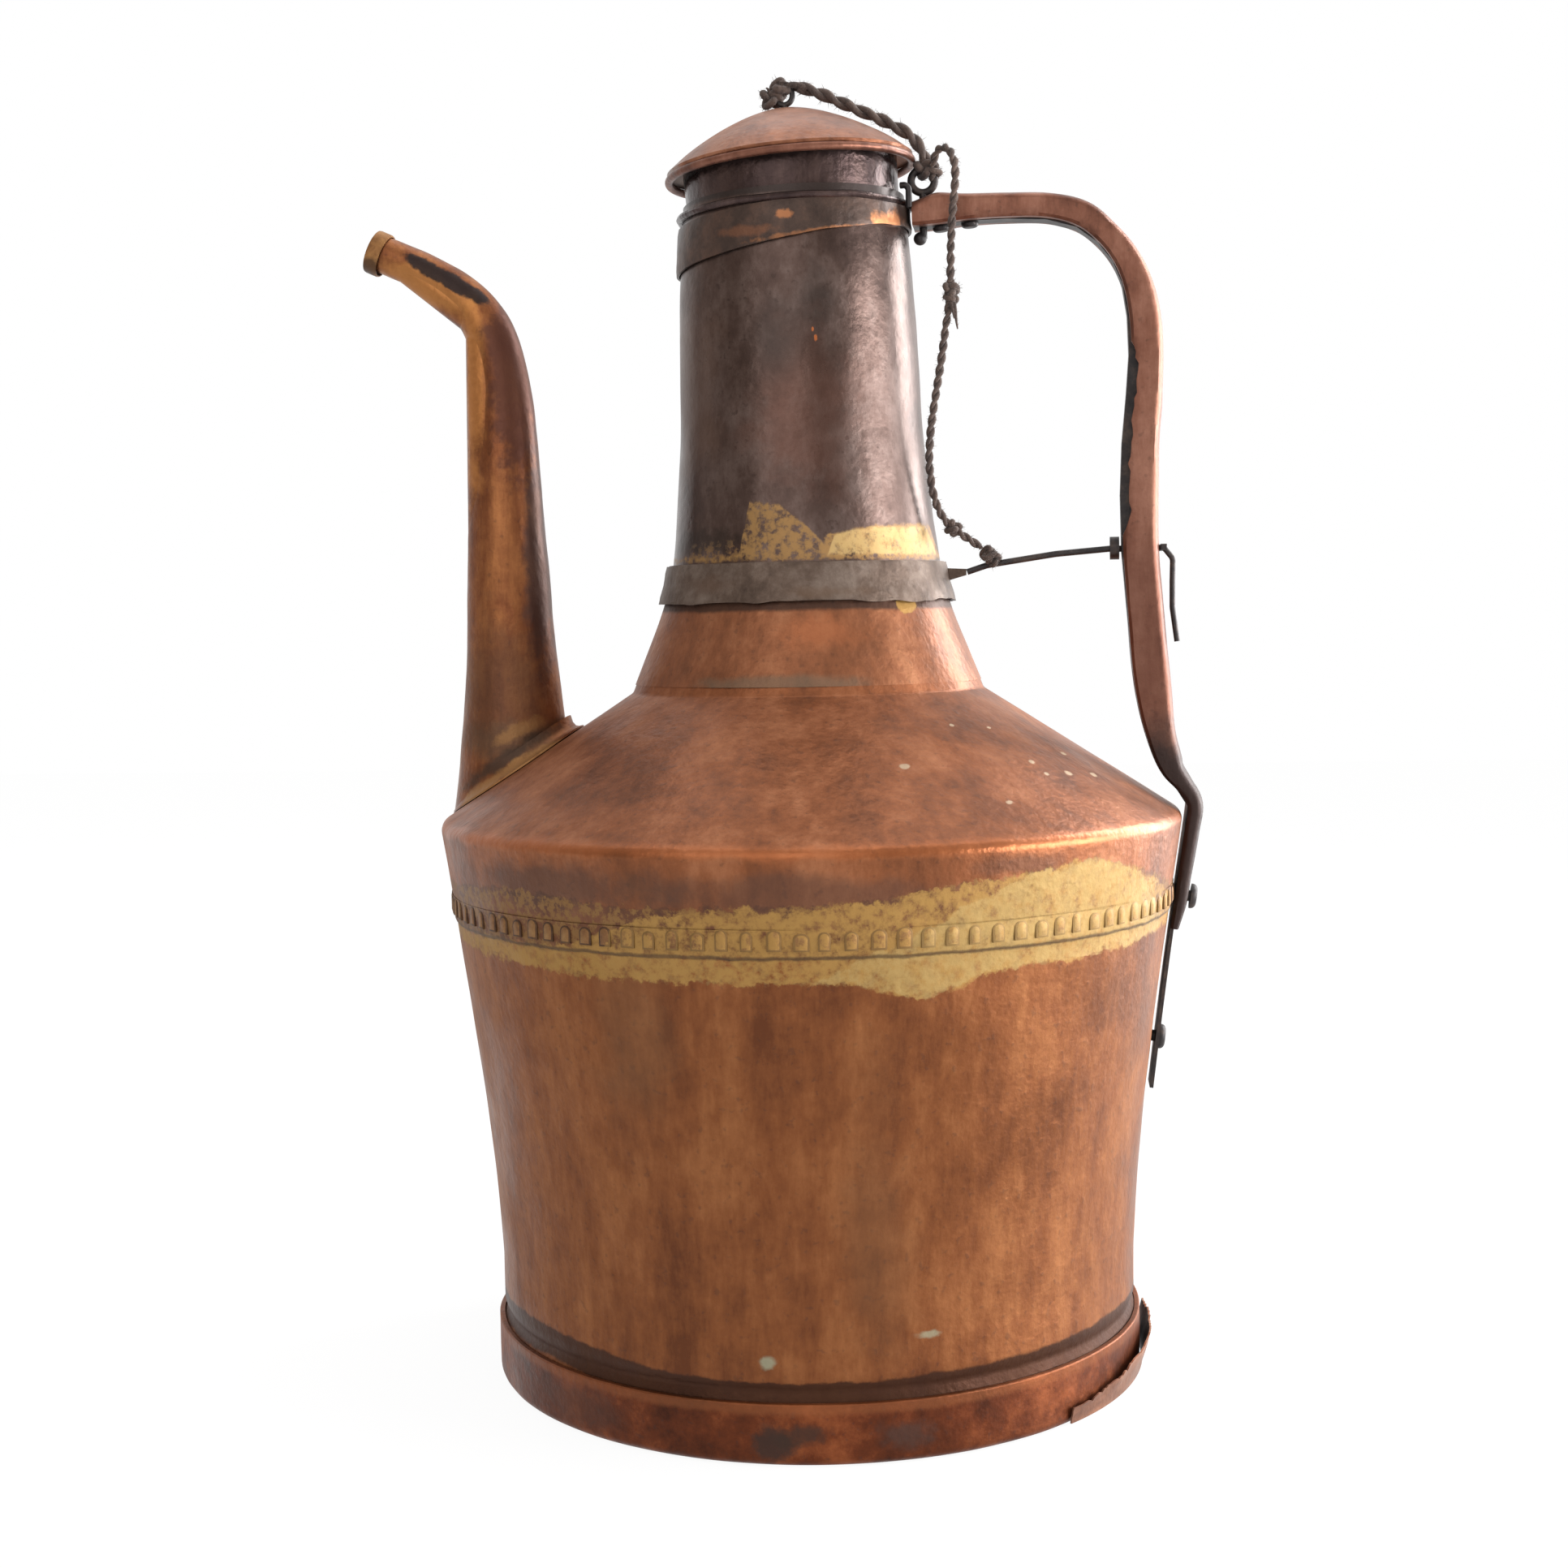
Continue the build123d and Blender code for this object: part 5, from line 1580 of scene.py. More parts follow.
        tie_knot = joined("tie_rope_knot", (
            self.knot(
                "tie_knot_a", (0.0650, -0.0024, 0.2882), (0.0022, 0.0024, 0.0019), 0.0010, (20.0, 40.0, 30.0)
            ),
            self.knot(
                "tie_knot_b", (0.0668, -0.0022, 0.2866), (0.0020, 0.0022, 0.0016), 0.0009, (90.0, 10.0, 0.0)
            ),
        ))
        knots = (
            (lid_knot, "lid_knot", "lid"), (eye_knot, "eye_knot", "jug"), (middle_knot, "middle_knot", "jug"),
            (lower_knot, "lower_knot", "jug"), (tie_knot, "tie_knot", "jug"),
        )
        for number, (piece, node, body) in enumerate(knots):
            run_tree(piece, fibres, {"Density": 700000.0, "Fibre Length": 0.0014, "Seed": 11 + number})
            settle(piece, rope, body, node)
        tether_line = cord_line("tether", self.tether_route)
        tether = self.strands("tether_rope", tether_line, self.tether_diameter, 0.0150, 2)
        run_tree(tether, fibres, {"Density": 500000.0, "Fibre Length": 0.0016, "Seed": 5})
        dress(tether, rope)
        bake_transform(tether)
        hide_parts("tether_cord")
        hanging_line = cord_line("hanging", self.hanging_route)
        hanging = self.strands("hanging_rope", hanging_line, self.hanging_diameter, 0.0085, 2)
        run_tree(hanging, fibres, {"Density": 500000.0, "Fibre Length": 0.0012, "Seed": 8})
        settle(hanging, rope, "jug", "hanging_cord")
        for line in (tether_line, hanging_line):
            log.info("cord: %.1f mm", Track(line).lengths[-1] / MM)


# Vessel


def cramp_tree(material: bpy.types.Material) -> bpy.types.GeometryNodeTree:
    """Builds the tree that sets a row of cramp teeth round the seam.

    Args:
        material: The teeth's material.

    Returns:
        The tree, with inputs for the count, the ring's radius and height, and a seed.
    """
    tree = new_tree("cramp_row", (
        ("Count", "NodeSocketInt", 112),
        ("Ring Radius", "NodeSocketFloat", 0.128),
        ("Ring Height", "NodeSocketFloat", 0.170),
        ("Seed", "NodeSocketInt", 4),
    ))
    entry = add_node(tree, "NodeGroupInput").outputs
    ring = add_node(
        tree, "GeometryNodeMeshCircle", {"Vertices": entry["Count"], "Radius": entry["Ring Radius"]}
    )
    height = add_node(tree, "ShaderNodeCombineXYZ", {"Z": entry["Ring Height"]})
    lift = add_node(tree, "GeometryNodeSetPosition", {
        "Geometry": ring.outputs["Mesh"], "Offset": height.outputs[0],
    })
    spot = add_node(tree, "GeometryNodeInputPosition")
    flat = add_node(
        tree, "ShaderNodeVectorMath", {0: spot.outputs[0], 1: (1.0, 1.0, 0.0)}, operation="MULTIPLY"
    )
    face = add_node(
        tree, "FunctionNodeAlignRotationToVector", {"Vector": flat.outputs[0]}, axis="X", pivot_axis="Z"
    )
    size = add_node(tree, "FunctionNodeRandomValue", {
        0: (0.7, 0.78, 0.82), 1: (1.0, 1.1, 1.08), "Seed": entry["Seed"],
    }, data_type="FLOAT_VECTOR")
    shift = add_node(tree, "FunctionNodeRandomValue", {
        0: (0.0, -0.0006, -0.0005), 1: (0.0, 0.0006, 0.0005), "Seed": entry["Seed"],
    }, data_type="FLOAT_VECTOR")
    place = add_node(tree, "GeometryNodeInstanceOnPoints", {
        "Points": lift.outputs["Geometry"], "Instance": entry["Geometry"], "Rotation": face.outputs[0],
        "Scale": size.outputs[0],
    })
    slide = add_node(tree, "GeometryNodeTranslateInstances", {
        "Instances": place.outputs["Instances"], "Translation": shift.outputs[0],
    })
    finish_tree(tree, slide.outputs["Instances"], material)
    return tree


@dataclass
class Vessel:
    """Base pan, drum, cramped seam, shoulder, neck cone and the torn foot skin."""

    wall: float = 0.0012
    foot_radius: float = 0.1143
    pan_radius: float = 0.11625
    pan_height: float = 0.0203
    seam_height: float = 0.1646
    edge_radius: float = 0.1324
    edge_height: float = 0.197
    slope: float = 0.1477
    lap_low: float = 0.1640
    lap_high: float = 0.1730
    lap_out: float = 0.00065
    cramp_count: int = 101
    cramp_middle: float = 0.1694
    flange_radius: float = 0.06202
    flange_height: float = 0.2445
    joint_radius: float = 0.0489
    joint_height: float = 0.280
    floor: float = 0.0018
    torn_start: float = -38.8
    torn_turn: float = 49.6
    torn_bearing: float = 39.0
    torn_slope: float = 7.5
    torn_end: float = 0.0068

    def wall_radius(self, height: float) -> float:
        """Gives the outer radius of the wall between the foot and the shoulder edge."""
        if height <= 0.042:
            return self.foot_radius
        seam = self.edge_radius - self.slope * (self.edge_height - self.seam_height)
        if height >= self.seam_height:
            return seam + self.slope * (height - self.seam_height)
        line = smooth_line(
            ((self.foot_radius, 0.010), (self.foot_radius, 0.042), (0.1184, 0.0945), (seam, self.seam_height),
             (seam + self.slope * 0.04, self.seam_height + 0.04)), 24,
        )
        for (near, low), (far, high) in zip(line, line[1:]):
            if low <= height <= high:
                return near + (far - near) * (height - low) / (high - low)
        return seam

    def build_pan(self, finishes: Finishes) -> None:
        """Makes the base pan with its slightly uneven rim."""
        outer = rounded_line((
            (0.0, 0.0, 0.0), (self.pan_radius, 0.0, 0.003), (self.pan_radius, self.pan_height, 0.0006),
            (self.pan_radius - self.floor, self.pan_height, 0.0),
        ))
        # The last three inner points stand in for the many of the flat underside.
        underside = 34
        inner = (
            (self.pan_radius - self.floor, self.floor), (0.0, self.floor),
            (0.0, 0.0), (0.06, 0.0), (0.11, 0.0),
        )
        piece = lathe("foot_pan", finer(outer, 0.003)[underside:], inner, dents=Dents(0.0004, 0.03, 2.0))
        settle(piece, finishes[Finish.FOOT], "jug", "base_pan")

    def build_drum(self, finishes: Finishes) -> None:
        """Makes the drum with its groove and the lap of its seam."""
        rows = [(self.foot_radius, 0.0019), (self.foot_radius, 0.0200), (0.1130, 0.0226), (0.1130, 0.0244),
                (self.foot_radius, 0.0268)]
        height = 0.0288
        while height < self.lap_low - 0.001:
            rows.append((self.wall_radius(height), height))
            height += 0.0022
        rows.append((self.wall_radius(self.lap_low) + 0.0001, self.lap_low - 0.0002))
        for share in (0.0, 0.08, 0.25, 0.5, 0.75, 1.0):
            lap = self.lap_low + share * (self.lap_high - self.lap_low)
            out = self.lap_out * (1 - 0.75 * share) if share else self.lap_out * 0.7
            rows.append((self.wall_radius(lap) + out, lap))
        back = [(self.wall_radius(self.lap_high) - 0.0001, self.lap_high)]
        back += [(self.wall_radius(z) - self.wall, z) for z in (0.165, 0.12, 0.08, 0.042)]
        back += [(0.1131, 0.0268), (0.1118, 0.0244), (0.1118, 0.0226), (0.1131, 0.0200), (0.1131, 0.0019)]
        piece = lathe("drum_sheet", rows, back, dents=Dents(0.0007, 0.055, 1.0))
        for vertex in piece.data.vertices:
            if abs(vertex.co.z - self.lap_low) < 0.0013:
                vertex.co.z += 0.0007 * noise.noise(Vector((vertex.co.x, vertex.co.y, 0.0)) * 150)
        settle(piece, finishes[Finish.BODY], "jug", "drum_wall")

    def build_shoulder(self, finishes: Finishes) -> None:
        """Makes the upper wall, the shoulder edge and its slope."""
        low = self.lap_high - 0.004
        outer = finer(rounded_line((
            (self.wall_radius(low), low, 0.0), (self.edge_radius, self.edge_height, 0.004),
            (0.0632, 0.2415, 0.0025), (self.flange_radius, self.flange_height, 0.0),
        )), 0.0022)
        inner = ((self.flange_radius - 0.0011, self.flange_height), (0.0628, 0.2402), (0.1306, 0.1967),
                 (self.wall_radius(low) - self.wall, low))
        piece = lathe("shoulder_sheet", outer, inner, dents=Dents(0.0008, 0.045, 5.0))
        settle(piece, finishes[Finish.SHOULDER], "jug", "shoulder")

    def build_cone(self, finishes: Finishes) -> None:
        """Makes the cone between the shoulder and the neck."""
        line = smooth_line((
            (self.flange_radius, self.flange_height), (0.0574, 0.256), (0.0529, 0.2676),
            (self.joint_radius, self.joint_height),
        ), 7)
        back = [(radius - self.wall, height) for radius, height in reversed(line)]
        piece = lathe("cone_sheet", line, back, segments=192, dents=Dents(0.0005, 0.04, 3.0))
        settle(piece, finishes[Finish.CONE], "jug", "neck_cone")

    def build_cramp_row(
        self, name: str, material: bpy.types.Material, width: float, height: float, lift: float
    ) -> bpy.types.Object:
        """Makes a row of round-topped plates on the seam.

        Args:
            name: The piece's name.
            material: The plates' material.
            width: The width of each plate.
            height: The height of each plate.
            lift: How far its face stands off the lap.

        Returns:
            The row.
        """
        half, up = width / 2, height / 2
        outline = rounded_line((
            (-half * 0.92, -up, 0.0), (-half, up, half * 0.9), (half, up, half * 0.9),
            (half * 0.92, -up, 0.0),
        ), 4)
        vertices = []
        for out, shrink in ((-0.0008, 1.0), (lift - 0.00022, 1.0), (lift, 0.86)):
            vertices += [(out, side * shrink, rise * shrink) for side, rise in outline]
        count = len(outline)
        faces: list[Sequence[int]] = []
        for low, high in ((0, count), (count, 2 * count)):
            for column in range(count):
                beside = (column + 1) % count
                faces.append((low + column, low + beside, high + beside, high + column))
        faces.append(tuple(range(2 * count, 3 * count)))
        faces.append(tuple(reversed(range(count))))
        piece = make_piece(name, vertices, faces, PLATE_SHARP)
        middle = self.cramp_middle
        run_tree(piece, cramp_tree(material), {
            "Count": self.cramp_count, "Ring Radius": self.wall_radius(middle) + self.lap_out * 0.6,
            "Ring Height": middle,
            "Seed": 4,
        })
        return piece

    def build_cramps(self, finishes: Finishes) -> None:
        """Makes the row of cramp teeth that locks the seam, each with its dark crease."""
        crease = self.build_cramp_row("cramp_creases", finishes[Finish.CREASE], 0.0049, 0.0066, 0.00006)
        teeth = self.build_cramp_row("cramp_teeth", finishes[Finish.BRAZE], 0.0038, 0.0056, 0.0002)
        for piece in (crease, teeth):
            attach(piece, "jug")

    def build_torn_skin(self, finishes: Finishes) -> None:
        """Makes the torn skin that curls away from the foot on the handle side."""
        columns, rows = 90, 14
        inner, reach, foot, top = self.pan_radius + 0.00015, 0.0040, 0.0007, 0.0140
        sheets: list[list[Vector]] = []
        for column in range(columns + 1):
            share = column / columns
            angle = math.radians(self.torn_start + self.torn_turn * share)
            y = (inner + reach * 0.5) * math.sin(angle)
            along = y + self.pan_radius * math.sin(math.radians(self.torn_bearing))
            limit = self.torn_end + math.tan(math.radians(self.torn_slope)) * along
            ragged = 0.0022 * noise.noise(Vector((share * 16, 2.0, 0.0)))
            ragged += 0.0012 * noise.noise(Vector((share * 45, 7.0, 0.0)))
            crest = min(top, limit) - abs(ragged) - 0.0004
            crest = max(crest, foot + 0.002)
            front, back = [], []
            for row in range(rows + 1):
                up = row / rows
                height = foot + (crest - foot) * up
                lean = (height - foot) / (top - foot)
                fold = 0.0007 * noise.noise(Vector((share * 9, up * 2.5, 5.0)))
                out = inner + reach * lean ** 1.15 + fold * up - 0.0003 * up
                front.append(Vector((
                    (out + 0.0006) * math.cos(angle), (out + 0.0006) * math.sin(angle), height,
                )))
                back.append(Vector((out * math.cos(angle), out * math.sin(angle), height)))
            sheets.append(front + list(reversed(back)))
        piece = loft("torn_skin", sheets)
        dress(piece, finishes[Finish.TORN])
        # The skin's faces toward the vessel take the black iron finish as painted shade on its back.
        piece.data.materials.append(finishes[Finish.IRON_AND_SHADE])
        for face in piece.data.polygons:
            facing = face.normal.x * face.center.x + face.normal.y * face.center.y
            face.material_index = 1 if facing < -0.02 else 0
        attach(piece, "jug")
        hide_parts("torn_foot_skin")

    def build(self, finishes: Finishes) -> None:
        """Builds every piece of the vessel."""
        self.build_pan(finishes)
        self.build_drum(finishes)
        self.build_shoulder(finishes)
        self.build_cone(finishes)
        self.build_cramps(finishes)
        self.build_torn_skin(finishes)
        log.info("vessel built")


# Neck


@dataclass
class Neck:
    """Neck tube, its band, strap, tie and clip."""

    seat: Seat = Seat(0.0, 0.280, 1.0)
    wall: float = 0.0012
    length: float = 0.1327
    rim_height: float = 0.4127
    rim_x: float = -0.00232
    rim_tilt: float = 2.0
    joint_height: float = 0.280
    strap_foot: float = 0.05285
    strap_joint: float = 0.0506
    strap_top: float = 0.0497
    line: tuple[tuple[float, float], ...] = (
        (0.0489, 0.0), (0.0459, 0.022), (0.0434, 0.052), (0.0417, 0.100), (0.0392, 0.1345),
    )

    def radius(self, rise: float) -> float:
        """Gives the tube's outer radius at a rise above the joint."""
        points = smooth_line(((0.0497, -0.003),) + self.line, 20)
        for (near, low), (far, high) in zip(points, points[1:]):
            if low <= rise <= high:
                return near + (far - near) * (rise - low) / (high - low)
        return self.line[-1][0]

    def build_tube(self, finishes: Finishes) -> None:
        """Makes the neck tube with its askew mouth."""
        segments, steps = 224, 66
        dents = Dents(0.0006, 0.035, 9.0)
        rings = []
        for step in range(segments):
            angle = math.tau * step / segments
            slant = math.tan(math.radians(self.rim_tilt - self.seat.tilt)) * 0.039 * math.cos(angle)
            top = self.length + slant
            foot = -0.0489 * math.tan(math.radians(self.seat.tilt)) * math.cos(angle)
            ring = []
            for row in range(steps + 1):
                rise = foot + (top - foot) * row / steps
                place = self.seat.place(self.radius(rise), rise, angle)
                ring.append(self.seat.place(self.radius(rise) - dents.at(place), rise, angle))
            for row in (steps, steps // 2, 0):
                rise = foot + (top - foot) * row / steps
                ring.append(self.seat.place(self.radius(rise) - self.wall, rise, angle))
            rings.append(ring)
        piece = loft("neck_sheet", rings, closed=True)
        settle(piece, finishes[Finish.NECK], "jug", "neck_tube")

    def build_band(self, finishes: Finishes) -> None:
        """Makes the copper band that sits askew under the rim."""
        segments, steps = 224, 9
        rings = []
        for step in range(segments):
            angle = math.tau * step / segments
            along = 0.0405 * math.cos(angle)
            wave = 0.0007 * noise.noise(Vector((math.cos(angle) * 2.4, math.sin(angle) * 2.4, 3.0)))
            top = self.length - 0.0052 + along * math.tan(math.radians(4.5)) - abs(wave)
            foot = self.length - 0.018 + along * math.tan(math.radians(9.0)) + abs(wave)
            ring = []
            for row in range(steps + 1):
                rise = foot + (top - foot) * row / steps
                curl = 0.0002 if row in (0, steps) else 0.0
                ripple = 0.00025 * noise.noise(Vector((math.cos(angle) * 5, math.sin(angle) * 5, rise * 180)))
                ring.append(self.seat.place(self.radius(rise) + 0.00125 - curl - abs(ripple), rise, angle))
            for row in (steps, 0):
                rise = foot + (top - foot) * row / steps
                ring.append(self.seat.place(self.radius(rise) + 0.00012, rise, angle))
            rings.append(ring)
        piece = loft("rim_band_sheet", rings, closed=True)
        settle(piece, finishes[Finish.BAND], "jug", "neck_band")

    def build_rim(self, finishes: Finishes) -> None:
        """Makes the rolled edge round the mouth, a little uneven."""
        segments = 224
        seat = Seat(self.rim_x, self.rim_height, self.rim_tilt)
        section = (
            (0.00005, -0.0050), (0.0011, -0.0051), (0.0018, -0.0046), (0.0021, -0.0039),
            (0.0018, -0.0032), (0.0011, -0.0029), (0.0005, -0.0027), (0.00005, -0.0029),
        )
        rings = []
        for step in range(segments):
            angle = math.tau * step / segments
            place = Vector((math.cos(angle) * 2.6, math.sin(angle) * 2.6, 12.0))
            wave, swell = 0.0005 * noise.noise(place), 1.0 + 0.25 * noise.noise(place * 2.3)
            rings.append([
                seat.place(0.03965 + out * min(1.0, swell), rise * (1 + 0.06 * swell) + 0.0002 + wave, angle)
                for out, rise in section
            ])
        piece = loft("rolled_rim", rings, closed=True)
        settle(piece, finishes[Finish.SKIRT], "jug", "neck_rim")

    def strap_line(self, height: float) -> float:
        """Gives the strap's outer radius at a height."""
        if height < self.joint_height:
            drop = (self.joint_height - height) / 0.007
            return self.strap_joint + (self.strap_foot - self.strap_joint) * drop
        climb = (height - self.joint_height) / 0.006
        return self.strap_joint + (self.strap_top - self.strap_joint) * climb

    def build_strap_face(self, finishes: Finishes) -> None:
        """Makes the strap's beaten face, with its wavy foot over the cone."""
        segments = 240
        rings = []
        for step in range(segments):
            angle = math.tau * step / segments
            round_place = Vector((math.cos(angle), math.sin(angle), 0.0))
            wave = 0.0016 * noise.noise(round_place * 2.2 + Vector((3.0, 1.0, 7.0)))
            wave += 0.0007 * noise.noise(round_place * 7.0 + Vector((5.0, 2.0, 1.0)))
            crest = 0.0006 * noise.noise(round_place * 3.0 + Vector((9.0, 4.0, 2.0)))
            foot, top = 0.2728 - max(-0.0004, wave), 0.2861 + crest
            ring = []
            for row in range(7):
                share = row / 6
                height = foot + (top - foot) * share
                beat = 0.00035 * noise.noise(round_place * 9.0 + Vector((0.0, 0.0, share * 3.0)))
                curl = 0.0003 if row in (0, 6) else 0.0
                ring.append((self.strap_line(height) + 0.00045 - abs(beat) - curl, height))
            ring += [(self.strap_line(top) - 0.0012, top), (self.strap_line(foot) - 0.0012, foot)]
            rings.append([Vector((r * math.cos(angle), r * math.sin(angle), z)) for r, z in ring])
        piece = loft("strap_face", rings, closed=True)
        dress(piece, finishes[Finish.STRAP])
        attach(piece, "jug")

    def build(self, finishes: Finishes) -> None:
        """Builds the neck's sheet pieces and dresses its iron ones."""
        self.build_tube(finishes)
        self.build_band(finishes)
        self.build_rim(finishes)
        self.build_strap_face(finishes)
        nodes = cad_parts
        dress(nodes["neck_strap"], finishes[Finish.STRAP])
        for name in ("rim_clip", "tie_wire"):
            dress(nodes[name], finishes[Finish.IRON_AND_SHADE])
        log.info("neck built")


# Spout


@dataclass
class Spout:
    """Spout tube, the collar at its foot and the ring at its tip."""

    edge_radius: float = 0.1324
    edge_height: float = 0.197
    wall: float = 0.0011
    breadth: float = 0.95
    stations: tuple[tuple[float, float, float, float], ...] = (
        (24.2, 19.0, 20.6, 0.0), (24.1, 40.0, 18.2, 0.0), (23.8, 62.0, 16.4, 0.0), (23.5, 90.0, 14.9, 0.0),
        (23.4, 119.0, 13.1, 0.0), (23.6, 142.0, 11.5, 1.0), (22.9, 157.0, 10.2, 6.0),
        (20.2, 171.6, 9.4, 17.0),
        (15.2, 181.2, 8.5, 34.0), (7.4, 189.3, 7.8, 50.0), (-5.0, 197.1, 7.2, 61.0),
        (-15.2, 201.8, 7.0, 65.0),
        (-23.3, 205.1, 7.0, 65.5),
    )

    def slope_height(self, x: float, y: float) -> float:
        """Gives the height of the shoulder's slope under a point."""
        out = math.hypot(x, y)
        return self.edge_height + (self.edge_radius - out) * 0.0445 / 0.0692

    def section(self, station: Sequence[float], grow: float, sides: int) -> list[Vector]:
        """Gives one oval section of the spout.

        Args:
            station: Inward and upward place in millimetres, radius and lean in degrees.
            grow: How much larger than the spout's face it is, in metres.
            sides: How many points it has.

        Returns:
            The points of the section.
        """
        inward, above, radius, lean = station
        turn = math.radians(lean)
        centre = Vector((inward * MM - self.edge_radius, 0.0, self.edge_height + above * MM))
        across = Vector((math.cos(turn), 0.0, math.sin(turn)))
        points = []
        for side in range(sides):
            angle = math.tau * side / sides
            long, short = radius * MM + grow, radius * MM * self.breadth + grow
            aside = Vector((0, short * math.sin(angle), 0))
            points.append(centre + across * long * math.cos(angle) + aside)
        return points

    def build_tube(self, finishes: Finishes) -> None:
        """Makes the tube, which follows the shoulder's slope at its foot."""
        sides = 72
        line = smooth_line(self.stations, 9)
        dents = Dents(0.0005, 0.022, 12.0)
        rings = []
        foot_station = (23.6, 2.0, 22.3, 0.0)
        stem = [tuple(a + (b - a) * share / 8 for a, b in zip(foot_station, line[0])) for share in range(8)]
        for station in stem + list(line):
            ring = []
            for place in self.section(station, 0.0, sides):
                place.z = max(place.z, self.slope_height(place.x, place.y) + 0.0003)
                ring.append(place)
            middle = sum(ring, Vector()) / sides
            rings.append([p - (p - middle).normalized() * dents.at(p) for p in ring])
        inner = []
        for station in (line[-1], line[-5], line[-12], line[-40], line[20], line[0]):
            inner.append(self.section(station, -self.wall, sides))
        piece = loft("spout_sheet", rings + inner)
        settle(piece, finishes[Finish.SPOUT], "jug", "spout_tube")

    def build_collar(self, finishes: Finishes) -> None:
        """Makes the flared collar that is brazed to the shoulder round the spout."""
        sides = 96
        base = self.stations[0]
        rings = []
        profile = (
            (-0.0003, 0.0075), (0.0003, 0.0046), (0.0012, 0.0026), (0.0024, 0.0014),
            (0.0034, 0.0009), (0.0036, 0.0002), (0.0015, 0.0002), (0.0003, 0.0004),
        )
        for out, up in profile:
            ring = []
            for side in range(sides):
                angle = math.tau * side / sides
                wave = 1 + 0.18 * noise.noise(Vector((math.cos(angle) * 1.8, math.sin(angle) * 1.8, 8.0)))
                long = (base[2] + 0.35) * MM + out * wave * 0.95
                short = (base[2] * self.breadth + 0.35) * MM + out * wave * 0.95
                x = (base[0] + 1.2 * out / 0.0036) * MM - self.edge_radius + long * math.cos(angle)
                y = short * math.sin(angle)
                ring.append(Vector((x, y, self.slope_height(x, y) + up)))
            rings.append(ring)
        piece = loft("spout_foot_collar", rings, closed=True)
        settle(piece, finishes[Finish.SPOUT], "jug", "spout_collar")

    def build_tip(self, finishes: Finishes) -> None:
        """Makes the ring soldered round the spout's tip."""
        tip = self.stations[-1]
        turn = math.radians(tip[3])
        onward = Vector((-math.sin(turn), 0.0, math.cos(turn)))
        rings = []
        profile = (
            (0.0, 0.0003), (0.0, 0.0008), (0.0006, 0.00095), (0.0044, 0.00095), (0.0050, 0.0007),
            (0.0050, 0.0003),
        )
        for back, grow in profile:
            rings.append([place - onward * back for place in self.section(tip, grow, 72)])
        piece = loft("spout_tip_band", rings, closed=True)
        settle(piece, finishes[Finish.TIP], "jug", "spout_tip_ring")

    def build(self, finishes: Finishes) -> None:
        """Builds every piece of the spout."""
        self.build_tube(finishes)
        self.build_collar(finishes)
        self.build_tip(finishes)
        log.info("spout built")


# Handle


IRON_NODES = (
    "handle_core", "upper_wall_rivet", "lower_wall_rivet", "upper_wall_rove", "lower_wall_rove",
    "sheath_rivet_near_neck", "sheath_rivet_far", "handle_eye",
)


